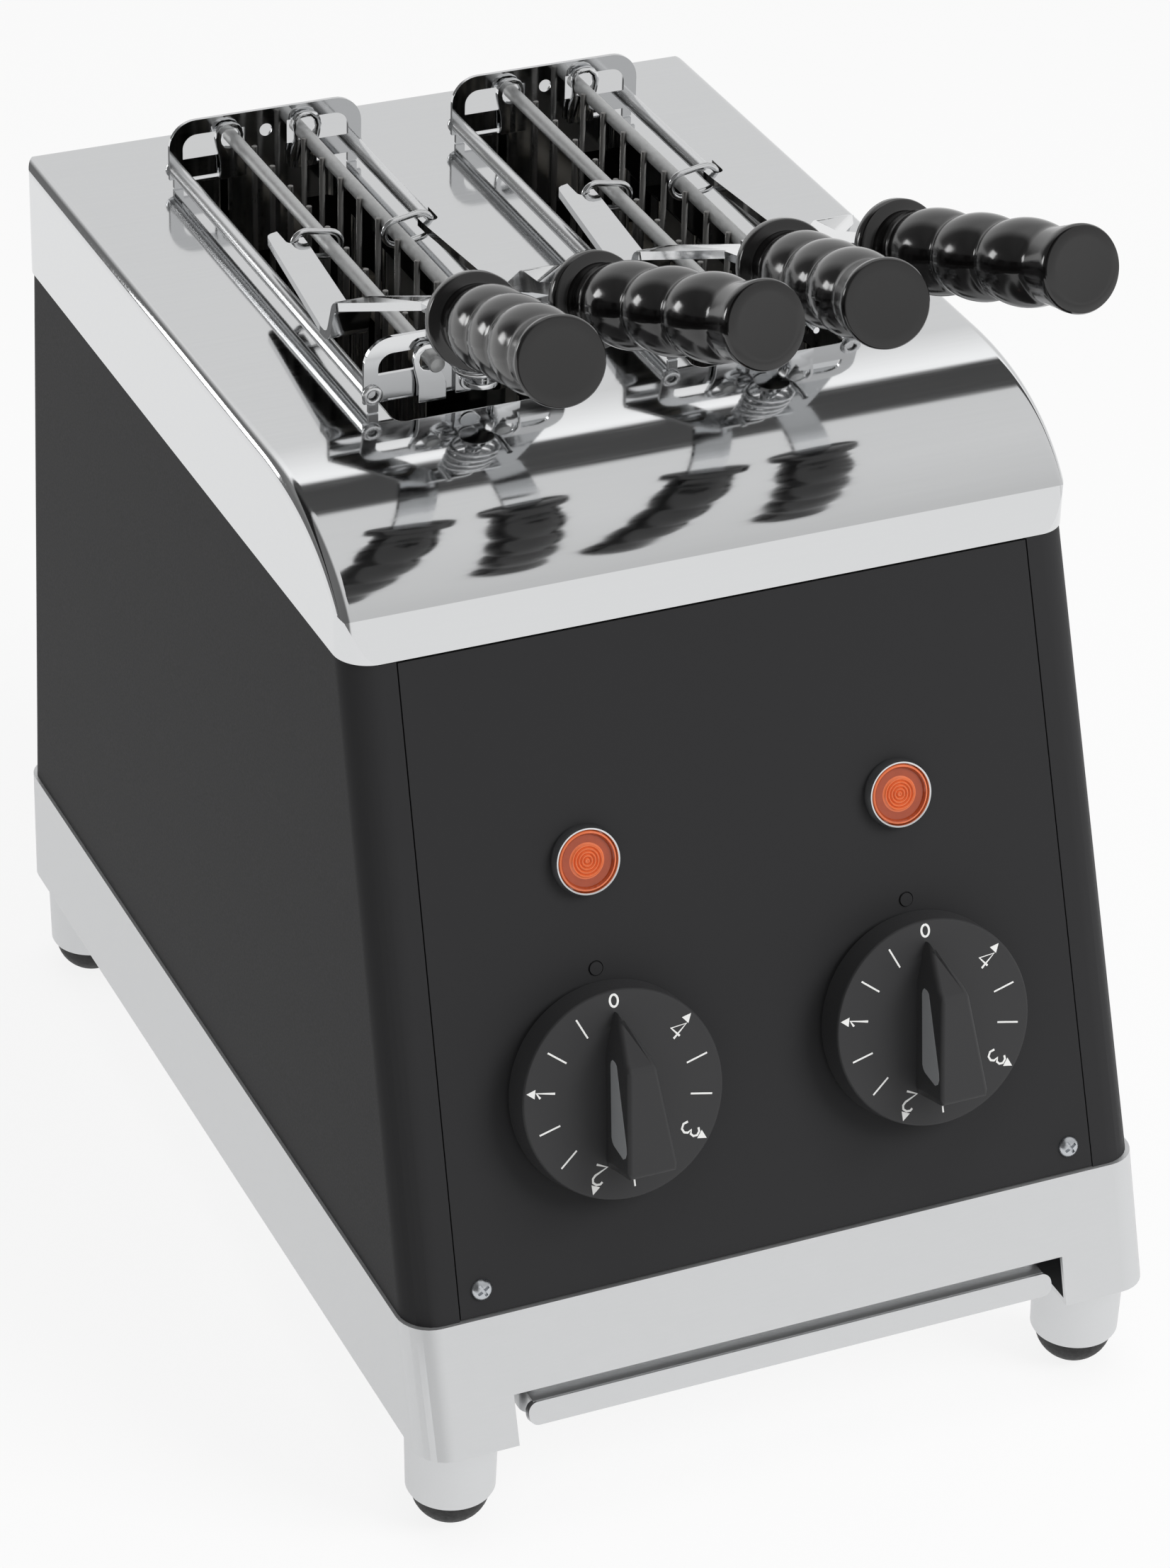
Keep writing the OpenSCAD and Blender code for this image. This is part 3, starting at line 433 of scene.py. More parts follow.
def surface(name, base, metallic, roughness, grain, stretch=(1, 1, 1), shade=0, rough=None, bump=None,
            **more):
    """Material with noise of a grain in millimetres that varies its colour, roughness and height."""
    material = bpy.data.materials.new(name)
    material.use_nodes = True
    tree = material.node_tree
    shader = tree.nodes["Principled BSDF"]
    start = {"Base_Color": (*base, 1), "Metallic": metallic, "Roughness": roughness, **more}
    for key, value in start.items():
        shader.inputs[key.replace("_", " ")].default_value = value
    place = add(tree, "ShaderNodeTexCoord").outputs["Object"]
    scaled = add(tree, "ShaderNodeMapping", {"Vector": place, "Scale": stretch})
    noise = add(tree, "ShaderNodeTexNoise", {"Vector": scaled.outputs[0], "Scale": 1 / (grain * MM),
                                             "Detail": 3, "Roughness": 0.6}).outputs["Fac"]
    if shade:
        dark, light = ([min(1, c * (1 + way * shade)) for c in base] for way in (-1, 1))
        mix = add(tree, "ShaderNodeMix", {"Factor": noise, 6: (*dark, 1), 7: (*light, 1)}, data_type="RGBA")
        tree.links.new(mix.outputs[2], shader.inputs["Base Color"])
    if rough:
        span = add(tree, "ShaderNodeMapRange", {"Value": noise, "From Min": 0.3, "From Max": 0.7,
                                                "To Min": rough[0], "To Max": rough[1]})
        tree.links.new(span.outputs[0], shader.inputs["Roughness"])
    if bump:
        height = add(tree, "ShaderNodeBump", {"Height": noise, "Strength": bump[0], "Distance": bump[1] * MM})
        tree.links.new(height.outputs[0], shader.inputs["Normal"])
    return material


def polished_stainless():
    # Buffed stainless sheet: a mirror with faint crosswise buffing lines that only soften reflections
    return surface("polished_stainless_steel", colours().steel, 1, 0.07, grain=1.2, stretch=(0.03, 1, 1),
                   shade=0.02, rough=(0.05, 0.1), bump=(0.02, 0.02))


def satin_stainless():
    # Bead-blasted stainless sheet: even pale grey with a soft sheen and a fine grain
    return surface("satin_stainless_steel", colours().satin, 0.85, 0.42, grain=0.9, stretch=(0.15, 1, 1),
                   shade=0.03, rough=(0.36, 0.46), bump=(0.05, 0.03))


def black_paint():
    # Baked black powder paint: dark grey satin with a very fine orange-peel surface
    return surface("baked_black_paint", colours().paint, 0, 0.55, Specular_IOR_Level=0.1, grain=0.7,
                   shade=0.05, rough=(0.5, 0.6), bump=(0.06, 0.05))


def knob_plastic():
    # Moulded matt thermoset: dark grey with a fine spark-eroded texture
    return surface("moulded_knob_plastic", colours().moulding, 0, 0.5, Specular_IOR_Level=0.35, grain=0.45,
                   shade=0.08, rough=(0.46, 0.58), bump=(0.1, 0.05))


def handle_bakelite():
    # Polished black bakelite: deep gloss with slight flow marks, so highlights stay sharp but not perfect
    return surface("polished_black_bakelite", colours().handle, 0, 0.14, IOR=1.6, grain=6,
                   shade=0.1, rough=(0.1, 0.19), bump=(0.04, 0.1))


def scale_print():
    # White pad print: flat and slightly uneven ink
    return surface("white_scale_print", colours().print, 0, 0.6, grain=0.8, shade=0.03)


def pointer_insert():
    # Silver-grey pointer insert: matt metallic lacquer
    return surface("silver_lacquer_pointer", colours().pointer, 0.25, 0.5, grain=0.6,
                   shade=0.06, rough=(0.45, 0.55), bump=(0.05, 0.03))


def amber_lens(name="amber_polycarbonate", key="lens", glow=0.09):
    # Moulded amber polycarbonate: orange rings, glossy, with a faint emission that is painted light shining
    # through from behind
    base = getattr(colours(), key)
    return surface(name, base, 0, 0.12, IOR=1.58, Transmission_Weight=0.2, Emission_Color=(*base, 1),
                   Emission_Strength=glow, grain=3, shade=0.15, bump=(0.03, 0.1))


def amber_lens_rim_painted_shade():
    # The flat ring of the same moulding in painted shade: deeper and browner and without the painted glow, as
    # if nothing were lit behind it
    return amber_lens("deep_amber_polycarbonate", "lens_rim", 0)


def foot_rubber():
    # Moulded black rubber: matt, slightly dusty
    return surface("moulded_black_rubber", colours().rubber, 0, 0.62, grain=1.2,
                   shade=0.15, rough=(0.5, 0.7), bump=(0.1, 0.05))


def drawn_tube():
    # Drawn stainless tube: bright grey with fine lengthwise lines that draw reflections out
    return surface("drawn_stainless_tube", colours().steel, 0.85, 0.24, grain=0.8, stretch=(1, 0.02, 1),
                   shade=0.08, rough=(0.18, 0.3), bump=(0.06, 0.03))


def zinc_coated_rod():
    # Hot-dip zinc on drawn rod: grey, dull and mottled with fine spangles
    return surface("zinc_coated_rod", colours().zinc, 0.65, 0.5, grain=1.1, stretch=(1, 0.4, 1),
                   shade=0.3, rough=(0.4, 0.62), bump=(0.25, 0.1))


def chromed_wire():
    # Bright chrome on drawn wire: mirror with slight drawing lines
    return surface("bright_chromed_wire", colours().steel, 1, 0.12, grain=2,
                   shade=0.06, rough=(0.08, 0.2), bump=(0.04, 0.03))


def grid_wire():
    # Drawn steel wire after many heatings: dull grey with a faint straw tint and uneven gloss
    return surface("heat_tinted_wire", linear("#7E7D7B"), 0.9, 0.3, grain=3, stretch=(1, 1, 0.3),
                   shade=0.15, rough=(0.22, 0.42), bump=(0.06, 0.04))


def screw_zinc():
    # Bright zinc-plated steel: slightly bluish with worn driver marks
    return surface("bright_zinc_plate", linear("#C4C7CB"), 1, 0.25, grain=0.8,
                   shade=0.12, rough=(0.18, 0.36), bump=(0.08, 0.03))


def dark_liner_and_bore_shade():
    # Heat-darkened enamelled liner: nearly black with brown heat tint; the same near-black in the rail bores
    # is painted shade
    return surface("heat_darkened_liner", linear("#1B1A19"), 0.3, 0.5, grain=12,
                   shade=0.35, rough=(0.4, 0.62), bump=(0.05, 0.1))


def heater_ceramic():
    # Unglazed steatite: off-white and chalky
    return surface("unglazed_steatite", linear("#DDD6C8"), 0, 0.7, grain=1.5,
                   shade=0.08, rough=(0.6, 0.8), bump=(0.1, 0.05))


def heater_quartz():
    # Milky quartz tube: pale and satin
    return surface("milky_quartz", linear("#CFC9BE"), 0, 0.3, grain=4, stretch=(1, 0.1, 1),
                   shade=0.08, rough=(0.24, 0.38))


def gland_nylon():
    # Moulded black nylon: dull with faint flow grain
    return surface("moulded_black_nylon", linear("#161616"), 0, 0.48, grain=0.9,
                   shade=0.12, rough=(0.42, 0.56), bump=(0.08, 0.04))


# Pieces


class TOASTER_OT_cover(bpy.types.Operator):
    """Polished cover: a bent sheet with a curved front and two slots with collars"""
    bl_idname = "toaster.cover"
    bl_label = "Cover"

    def execute(self, context):
        s = sizes()
        low, high = COVER_LOW, COVER_HIGH
        band, run, aim, corner = s.band / MM, s.run / MM, s.aim / MM, s.corner / MM
        crease = low.y + band * math.tan(LEAN)
        rise = high.z - low.z - band
        profile = [(low.y, low.z)]
        for t in sweep(1, 40):
            u = 1 - t
            profile.append((crease + 2 * t * u * aim + t * t * run, low.z + band + rise * (1 - u * u)))
        profile += [(high.y, high.z), (high.y, low.z)]
        cover = plate("cover", [(low.x, y, z) for y, z in profile], (high.x - low.x, 0, 0))

        def on_upper_edge(mesh, edge):
            a, b = ends(mesh, edge)
            raised = max(a.z, b.z) > low.z + TOUCH
            beside = abs(a.x - b.x) < TOUCH and min(a.y, b.y) < high.y - TOUCH
            behind = min(a.y, b.y) > high.y - TOUCH and min(a.z, b.z) > high.z - TOUCH
            return raised and (beside or behind)

        round_edges(cover, on_upper_edge, s.cover_edge / MM, 9, clamp_overlap=False)
        close_up(cover)
        spare, under = 2, 5
        for x, way_x in ((low.x, 1), (high.x, -1)):
            for y, way_y in ((low.y, 1), (high.y, -1)):
                arc = [(x + way_x * corner * (1 - math.sin(a)), y + way_y * corner * (1 - math.cos(a)))
                       for a in sweep(math.pi / 2, 16)]
                outside = [(x - way_x * spare, y + way_y * corner), (x - way_x * spare, y - way_y * spare),
                           (x + way_x * corner, y - way_y * spare)]
                cut(cover, plate("corner_tool", [(*p, low.z - under) for p in (*arc, *outside)],
                                 (0, 0, high.z - low.z + 2 * under)))
        liner_low, liner_high = box_of("chamber_left")
        collar, slot_half, slot_r, slot_edge = 12, 23.4, 3, 1.1
        rim, front_y, rear_y = high.z - collar, liner_low.y + 10.3, liner_high.y - 8.8
        for _, side in SIDES:
            middle = side * TONG_X
            cut(cover, block("slot_tool", (middle - slot_half, front_y, rim),
                             (middle + slot_half, rear_y, high.z + under), slot_r, 6))
        choose(cover, "FACE", lambda m, f: abs(f.normal.z) > 0.99 and (
            f.center.z / MM < low.z + 0.5 or abs(f.center.z / MM - rim) < 0.5))
        bpy.ops.mesh.delete(type="FACE")
        leave_edit()

        def at_rim(mesh, edge):
            near = 0.2
            return all(abs(abs(p.x) - TONG_X) < slot_half + near and front_y - near < p.y < rear_y + near
                       and p.z > high.z - 0.05 for p in ends(mesh, edge))

        round_edges(cover, at_rim, slot_edge, 4)
        modify(cover, "SOLIDIFY", thickness=s.sheet, offset=-1)
        smooth(cover, 13)
        hand_over(cover, polished_stainless, "housing", "polished_steel", "top_cover")
        return {"FINISHED"}


class TOASTER_OT_body(bpy.types.Operator):
    """Painted body shell and front panel with its two index studs"""
    bl_idname = "toaster.body"
    bl_label = "Body and panel"

    def execute(self, context):
        shell = dressed_copy("body_shell", "body_sheet", 0.35)
        hand_over(shell, black_paint, "housing", "black_paint", "body_shell")
        panel = dressed_copy("front_panel", "front_sheet", 0.4)
        stud, gap = 1.9, 2.25
        ring = turned("stud_gap", [(stud, -0.5), (gap, -0.5), (gap, 2), (stud, 2), (stud, -0.5)], 40)
        for side_name, _ in SIDES:
            cut(panel, twin(ring, "stud_gap_copy", over_dial(side_name, STUD_UP)))
        scrap(ring)
        smooth(panel)
        hand_over(panel, black_paint, "housing", "black_paint", "front_panel")
        return {"FINISHED"}


class TOASTER_OT_base(bpy.types.Operator):
    """Satin base frame and crumb tray"""
    bl_idname = "toaster.base"
    bl_label = "Base and tray"

    def execute(self, context):
        base = dressed_copy("base_frame", "base_sheet", 0.6, 40, 3)
        hand_over(base, satin_stainless, "housing", "satin_steel", "base_frame")
        tray = dressed_copy("crumb_tray", "tray_sheet", 0.35)
        hand_over(tray, satin_stainless, "tray", "satin_steel", "crumb_tray")
        return {"FINISHED"}


class TOASTER_OT_feet(bpy.types.Operator):
    """Four turned foot sleeves with domed rubber tips"""
    bl_idname = "toaster.feet"
    bl_label = "Feet"

    def execute(self, context):
        low, high = box_of("foot_sleeves")
        top, bottom, wide, narrow = high.z, low.z, 13.5, 13.0
        sleeve = turned("foot_sleeve", [
            (0, bottom), (narrow - 1.2, bottom), (narrow - 0.4, bottom + 0.2), (narrow, bottom + 1),
            (wide, top - 0.8), (wide - 0.3, top - 0.15), (wide - 0.9, top), (0, top)])
        radius, waist = 11.5, 11.0
        dome = [(radius * math.sin(a), waist * (1 - math.cos(a))) for a in sweep(math.pi / 2, 12)]
        tip = turned("foot_tip", [*dome[:-1], (radius, bottom - 0.8), (radius - 0.4, bottom), (0, bottom)])
        half_x, near_y, far_y = high.x - wide, low.y + wide, high.y - wide
        places = [moved(x, y) for x in (-half_x, half_x) for y in (near_y, far_y)]
        for piece, name, make, slot, node in (
                (sleeve, "foot_sleeve", satin_stainless, "satin_steel", "foot_sleeves"),
                (tip, "foot_tip", foot_rubber, "rubber_tip", "foot_tips")):
            smooth(piece, 35)
            for i, place in enumerate(places):
                hand_over(twin(piece, f"{name}_{i + 1}", place), make, "housing", slot, node)
            scrap(piece)
        return {"FINISHED"}


class TOASTER_OT_screws(bpy.types.Operator):
    """Pan-head cross screws of the panel and the rear"""
    bl_idname = "toaster.screws"
    bl_label = "Screws"

    def execute(self, context):
        tall, edge, shank, long = 1.75, 3.25, 1.8, 5.6
        head = turned("screw", [
            (0, tall), (1.1, 1.7), (2.2, 1.4), (2.9, 0.8), (edge, 0.15), (edge, -0.4), (shank, -0.4),
            (shank, 0.6 - long), (shank - 0.4, -long), (0, -long)], 40)
        for turn in (0.5, math.pi / 2 + 0.5):
            bar = block("recess", (-1.9, -0.42, 0.75), (1.9, 0.42, 4), 0)
            cut(head, seat(bar, Matrix.Rotation(turn, 4, "Z")))
        smooth(soften(head, 0.1, 40, 1), 40)
        inset = 3.3
        _, high = box_of("panel_screws")
        foot_y = JOINTS["dial_left_turn"]["pos_m"][1] / MM - DIAL_UP * PANEL_UP.y
        point = Vector((0, foot_y, BASE_TOP)) + SCREW_UP * PANEL_UP
        for side_name, side in SIDES:
            place = on_panel(Vector((side * (high.x - inset), point.y, point.z)) * MM)
            screw = twin(head, f"panel_screw_{side_name}", place)
            hand_over(screw, screw_zinc, "housing", "plated_steel", "panel_screws")
        low, high = box_of("rear_screws")
        spots = [(x, z) for z in (low.z + inset, high.z - inset) for x in (low.x + inset, 0, high.x - inset)]
        for i, (x, z) in enumerate(spots):
            screw = twin(head, f"rear_screw_{i + 1}", moved(x, high.y - tall, z) @ ALONG_Y)
            hand_over(screw, screw_zinc, "housing", "plated_steel", "rear_screws")
        scrap(head)
        return {"FINISHED"}


class TOASTER_OT_lamps(bpy.types.Operator):
    """Two amber lamps: chromed bezel and a lens with pressed rings"""
    bl_idname = "toaster.lamps"
    bl_label = "Lamps"

    def execute(self, context):
        outer = sizes().bezel / MM
        seat_r = outer - 1.5
        bezel = turned("bezel", [
            (seat_r, 0.6), (seat_r, 2.8), (seat_r + 0.25, 3.3), (seat_r + 0.7, 3.4), (outer - 0.45, 2.7),
            (outer - 0.05, 1.5), (outer, 0.5), (outer - 0.2, 0.02), (outer - 2.9, 0.02), (outer - 2.9, -8),
            (outer - 3.6, -8), (outer - 3.6, 0.6), (seat_r, 0.6)], 72)
        smooth(bezel, 35)
        rings, lens_r, flat = 5, seat_r - 0.1, 2.1
        ring = 0.56 * lens_r / rings
        profile = [(0, 1.0), (lens_r, 1.0), (lens_r, 2.6), (lens_r - 0.2, 2.95), (lens_r - 0.7, 3.1),
                   (lens_r - 1.1, 2.75), (lens_r - 1.3, 2.2), (0.6 * lens_r, flat)]
        for i in reversed(range(rings)):
            profile += [(ring * (i + 1 - k / 5), flat + 0.6 * math.sin(math.pi * k / 5)) for k in range(1, 5)]
            profile.append((ring * i, flat if i else 2.5))
        lens = coat(smooth(turned("lens", profile, 72), 40), amber_lens, amber_lens_rim_painted_shade)
        # The rings get the lens finish with its painted glow, and the deep flat ring gets the painted-shade
        # copy
        for face in lens.data.polygons:
            face.material_index = 0.57 * lens_r < face.center.xy.length / MM < lens_r - 0.9
        for side_name, _ in SIDES:
            place = over_dial(side_name, LAMP_UP)
            hand_over(twin(bezel, f"lamp_bezel_{side_name}", place), chromed_wire, "housing",
                      "bezel_chrome", "lamp_bezels")
            hand_over(twin(lens, f"lamp_lens_{side_name}", place), None, "housing",
                      "amber_lens", "lamp_lenses")
        scrap(bezel, lens)
        return {"FINISHED"}


class TOASTER_OT_knobs(bpy.types.Operator):
    """Two timer knobs: skirt, pointer grip, silver insert and printed scale"""
    bl_idname = "toaster.knobs"
    bl_label = "Knobs"

    def execute(self, context):
        radius = sizes().knob / MM
        gap, thick, tall, hub = 1.4, 9.5, 16.2, 3.1
        face = gap + thick
        boss, boss_top = 0.64 * radius, face + 0.35
        knob = turned("knob", [
            (hub, gap), (radius - 0.5, gap), (radius, gap + 0.5), (radius - 0.6, face - 0.9),
            (radius - 0.75, face - 0.4), (radius - 1.05, face - 0.1), (radius - 1.5, face),
            (boss + 0.6, face), (boss, boss_top), (hub, boss_top), (hub, gap)], 128)
        tip, (fore_x, fore_y), (aft_x, aft_y) = 0.78, (0.135, 0.426), (0.242, -0.565)
        half = [(0, tip), (0.022, 0.74), (0.05, 0.68), (fore_x, fore_y), (aft_x, aft_y), (0.223, -0.632)]
        outline = [(radius * x, radius * y) for x, y in half]
        outline += [(-x, y) for x, y in reversed(outline[1:])]
        sunk = 0.4
        grip = plate("grip", [(x, y, face - sunk) for x, y in outline], (0, 0, tall + sunk))
        edit_all(grip)
        bpy.ops.mesh.bisect(plane_co=Vector((0, tip * radius, face + 0.2 * tall)) * MM, plane_no=(0, 1, 1),
                            use_fill=True, clear_outer=True)
        leave_edit()
        close_up(grip)
        round_edges(grip, lambda m, e: min(p.z for p in ends(m, e)) > face + 1, 1.3, 5)
        smooth(cut(knob, grip, "UNION"), 32)
        slant = math.atan((aft_x - fore_x) / (fore_y - aft_y))
        flank = moved(-fore_x * radius, fore_y * radius, face) @ Matrix.Rotation(-slant, 4, "Z")
        edge = [(-0.05, 0.32), (-0.07, 0.42), (-0.12, 0.49), (-1.45, 0.9), (-1.57, 0.91), (-1.66, 0.86),
                (-1.7, 0.76), (-1.56, 0.36), (-1.51, 0.3), (-1.43, 0.26), (-0.16, 0.23), (-0.09, 0.26)]
        insert = plate("insert", [(-0.1, tall * y, tall * z) for y, z in edge], (0.7, 0, 0))
        smooth(soften(seat(insert, flank), 0.08, 40), 35)
        scale = self.scale(face, radius)
        for side_name, _ in SIDES:
            place = over_dial(side_name, DIAL_UP)
            body = f"dial_{side_name}"
            hand_over(twin(knob, f"knob_{side_name}_moulding", place), knob_plastic, body,
                      "knob_plastic", f"knob_{side_name}")
            hand_over(twin(insert, f"knob_{side_name}_pointer", place), pointer_insert, body,
                      "pointer_insert", f"insert_{side_name}")
            hand_over(twin(scale, f"knob_{side_name}_scale", place), scale_print, body, "knob_plastic")
        scrap(knob, insert, scale)
        return {"FINISHED"}

    def scale(self, face, radius):
        """Printed scale: strokes of ink, flattened on the skirt face."""
        step = math.radians(25.83)
        tick = [(0, -3.3), (0, 3.3)]
        digits = (
            [(1.2 * math.sin(a), 1.75 * math.cos(a)) for a in sweep(math.tau, 24)],
            [(-1.2, 1.5), (0.25, 2.8), (0.25, -2.8)],
            [(-1.6, 1.6), (-1.2, 2.4), (-0.1, 2.8), (1.1, 2.45), (1.5, 1.4), (1.1, 0.3), (-1.7, -2.8),
             (1.7, -2.8)],
            [(-1.5, 1.9), (-0.7, 2.7), (0.6, 2.7), (1.3, 1.8), (1.1, 0.7), (0, 0.25), (1.2, -0.25),
             (1.6, -1.3), (1.0, -2.5), (-0.4, -2.8), (-1.6, -1.9)],
            [(0.9, -2.8), (0.9, 2.8), (-1.8, -1.1), (1.8, -1.1)],
        )
        flatten = Matrix.Scale(0.1, 4, (0, 0, 1))
        parts = []
        for mark in range(13):
            turn = Matrix.Rotation(mark * step, 4, "Z")
            number, between = divmod(mark, 3)
            line, thick = (tick, 0.26) if between else (digits[number], 0.33)
            middle = radius - (7.3 if mark else 3.6)
            stroke = wire("ink", [(x, y, 0) for x, y in line], thick, sides=2)
            parts.append(seat(stroke, turn @ moved(0, middle, face + 0.02) @ flatten))
            if mark and not between:
                arrow = plate("arrow", [(-1.35, -1.2), (1.35, -1.2), (0, 1.4)], (0, 0, 0.06))
                parts.append(seat(arrow, turn @ moved(0, radius - 2.9, face)))
        return joined("scale", parts)


class TOASTER_OT_handles(bpy.types.Operator):
    """Four turned bakelite handles with flange, three bulges and flared end"""
    bl_idname = "toaster.handles"
    bl_label = "Handles"

    def execute(self, context):
        big = sizes().grip / MM
        long = 90.5
        first, pitch, flange, groove = 0.253 * long, 0.232 * long, big + 1.4, big - 2
        profile = [(0, 0), (flange - 0.9, 0), (flange - 0.25, 0.3), (flange, 0.9), (flange, 3.6),
                   (flange - 0.25, 4.2), (flange - 0.9, 4.6), (groove + 1.1, 4.9), (groove + 0.3, 5.5),
                   (groove, 6.8), (groove + 0.1, 9.4), (groove + 0.6, 10.4), (groove + 0.7, 11.2),
                   (groove + 0.3, first - 0.53 * pitch)]
        for bulge in range(3):
            for i in range(-8, 9):
                swell = math.cos(math.pi * i / 17) ** 0.8
                profile.append((groove + (big - groove) * swell, first + bulge * pitch + i * pitch / 16.8))
        end = first + 2.5 * pitch
        profile += [(groove + 0.1, end + 0.5), (groove + 0.3, end + 3), (groove + 0.8, end + 6),
                    (big - 0.6, long - 5), (big - 0.2, long - 3.2), (big - 0.05, long - 1.7),
                    (big - 0.15, long - 0.8), (big - 0.5, long - 0.2), (big - 1.1, long),
                    (big - 3.5, long - 0.1), (0, long - 0.2)]
        handle = turned("handle", profile, 96)

        def on_mould_seam(mesh, vertex):
            x, y, z = vertex.co / MM
            return abs(y) < 1e-3 and abs(x) > 5 and 7 < z < long - 3

        choose(handle, "VERT", on_mould_seam)
        bpy.ops.transform.resize(value=(1.012, 1, 1), center_override=(0, 0, 0))
        leave_edit()
        smooth(cut(handle, block("slit", (-6.3, -1.85, -1), (6.3, 1.85, 12.4), 0)), 28)
        foot, splay, tilt = moved(-17.2, -73, 47.8), math.radians(7.8), math.radians(19)
        lie = foot @ Matrix.Rotation(-splay, 4, "Z") @ Matrix.Rotation(math.pi / 2 - tilt, 4, "X")
        for tong, side in SIDES:
            for arm, place in arm_places(side):
                hand_over(twin(handle, f"tong_{tong}_handle_{arm}", place @ lie), handle_bakelite,
                          f"tong_{tong}_arm_{arm}", "bakelite", f"t{tong[0]}_handle_{arm}")
        scrap(handle)
        return {"FINISHED"}


class TOASTER_OT_tong_frames(bpy.types.Operator):
    """Tong plates, rails, pivots, springs, arms and link rings"""
    bl_idname = "toaster.tong_frames"
    bl_label = "Tong frames"

    def execute(self, context):
        for tong, side in SIDES:
            body, key = f"tong_{tong}", f"t{tong[0]}"
            pivot = dressed_copy(f"{key}_pivot", f"tong_{tong}_pivot_bracket", 0.25)
            hand_over(pivot, polished_stainless, body, "polished_steel", f"{key}_pivot")
            self.end_plate(tong, side, "front", top=22.9, sill=11.7, head=17.9)
            self.end_plate(tong, side, "rear", top=21.7, sill=9.4, head=17, hole_z=15)
            self.rails(tong, side)
            for arm, place in arm_places(side):
                strip = dressed_copy(f"{key}_arm_{arm}", f"tong_{tong}_strip_{arm}", 0.3, 50)
                hand_over(strip, polished_stainless, f"{body}_arm_{arm}", "polished_steel",
                          f"{key}_arm_{arm}")
                self.link(tong, arm, place)
            self.spring(tong)
        return {"FINISHED"}

    def end_plate(self, tong, side, end, top, sill, head, hole_z=None):
        """Pressed plate: two arched ears with windows, two small feet and a tongue into the slot."""
        node = f"t{tong[0]}_{end}_plate"
        low, high = box_of(node)
        half, ear, near, wide, bow = 31, 8.5, 6.8, 26.7, 4.5
        tongue, shoulder, foot_in, foot_out, foot_z = 12, 3.2, 26.6, 29.6, 0.3
        quarter = sweep(math.pi / 2, 10)
        left = [(-tongue, low.z - COVER_HIGH.z), (-tongue, shoulder), (-foot_in, shoulder),
                (-foot_in, foot_z), (-foot_out, foot_z), (-foot_out, shoulder), (-half, shoulder)]
        left += [(-half + ear * (1 - math.cos(a)), top + ear * (math.sin(a) - 1)) for a in quarter]
        outline = [*left, *((-x, z) for x, z in reversed(left))]
        sheet = plate("end_plate", [(x, 0, z) for x, z in outline], (0, high.y - low.y, 0))
        window = [(near, sill), (wide, sill)]
        window += [(wide - bow * (1 - math.cos(a)), head + bow * (math.sin(a) - 1)) for a in quarter]
        window.append((near, head))
        for _, ear_side in SIDES:
            cut(sheet, plate("window", [(ear_side * x, -2, z) for x, z in window], (0, 6, 0)))
        if hole_z:
            hole = turned("hole", [(0, -2), (2, -2), (2, 6), (0, 6)], 32)
            cut(sheet, seat(hole, moved(0, 0, hole_z) @ ALONG_Y))
        smooth(soften(sheet, 0.25))
        piece = twin(sheet, f"tong_{tong}_{end}_sheet", moved(side * TONG_X, low.y, COVER_HIGH.z))
        scrap(sheet)
        hand_over(piece, polished_stainless, f"tong_{tong}", "polished_steel", node)

    def rails(self, tong, side):
        """Two tube rails with their ends rolled over the plates as eyelets."""
        low, high = box_of(f"t{tong[0]}_rails")
        radius, bore, deep = sizes().rail / MM, 1.4, 5
        end, far = high.y - low.y, high.y - low.y - 1.2
        rail = turned("rail", [
            (0, deep), (bore, deep), (bore, 0.5), (bore + 0.15, 0.15), (bore + 0.5, 0), (radius + 0.3, 0.1),
            (radius + 0.7, 0.45), (radius + 0.8, 0.9), (radius + 0.7, 1.2), (radius, 1.2), (radius, far),
            (radius + 0.7, far), (radius + 0.8, far + 0.3), (radius + 0.7, far + 0.8), (radius + 0.3, end),
            (bore + 0.4, end), (bore, end - 0.4), (bore, end - deep), (0, end - deep)], 40)
        coat(smooth(rail, 40), drawn_tube, dark_liner_and_bore_shade)
        # The faces inside each bore take the near-black liner finish as painted shade, so that the eyelet
        # holes look dark
        for face in rail.data.polygons:
            face.material_index = face.center.xy.length / MM < bore + 0.05
        middle_x, middle_z = (high.x - low.x) / 2 - 3.2, (low.z + high.z) / 2
        pair = [twin(rail, "rail_copy", moved(side * TONG_X + way * middle_x, low.y, middle_z) @ ALONG_Y)
                for way in (-1, 1)]
        scrap(rail)
        hand_over(joined(f"tong_{tong}_tubes", pair), None, f"tong_{tong}", "polished_steel",
                  f"t{tong[0]}_rails")

    def link(self, tong, arm, place):
        """Closed wire link round a grid rod and the end of its arm."""
        reach, bend, thick, tilt = 7.2, 4, 0.95, math.radians(10)
        low, high = box_of(f"t{tong[0]}_link_{arm}")
        half_turn = sweep(math.pi, 10)
        path = [(bend * math.sin(a), 0, bend * math.cos(a)) for a in half_turn]
        path += [(-reach - bend * math.sin(a), 0, -bend * math.cos(a)) for a in half_turn]
        ring = smooth(wire("link", path, thick, closed=True), 60)
        on_rod = moved(-ROD_X, (low.y + high.y) / 2, ROD_Z) @ Matrix.Rotation(tilt, 4, "Y")
        piece = twin(ring, f"tong_{tong}_link_ring_{arm}", place @ on_rod)
        hand_over(piece, chromed_wire, f"tong_{tong}_arm_{arm}", "polished_steel", f"t{tong[0]}_link_{arm}")
        scrap(ring)

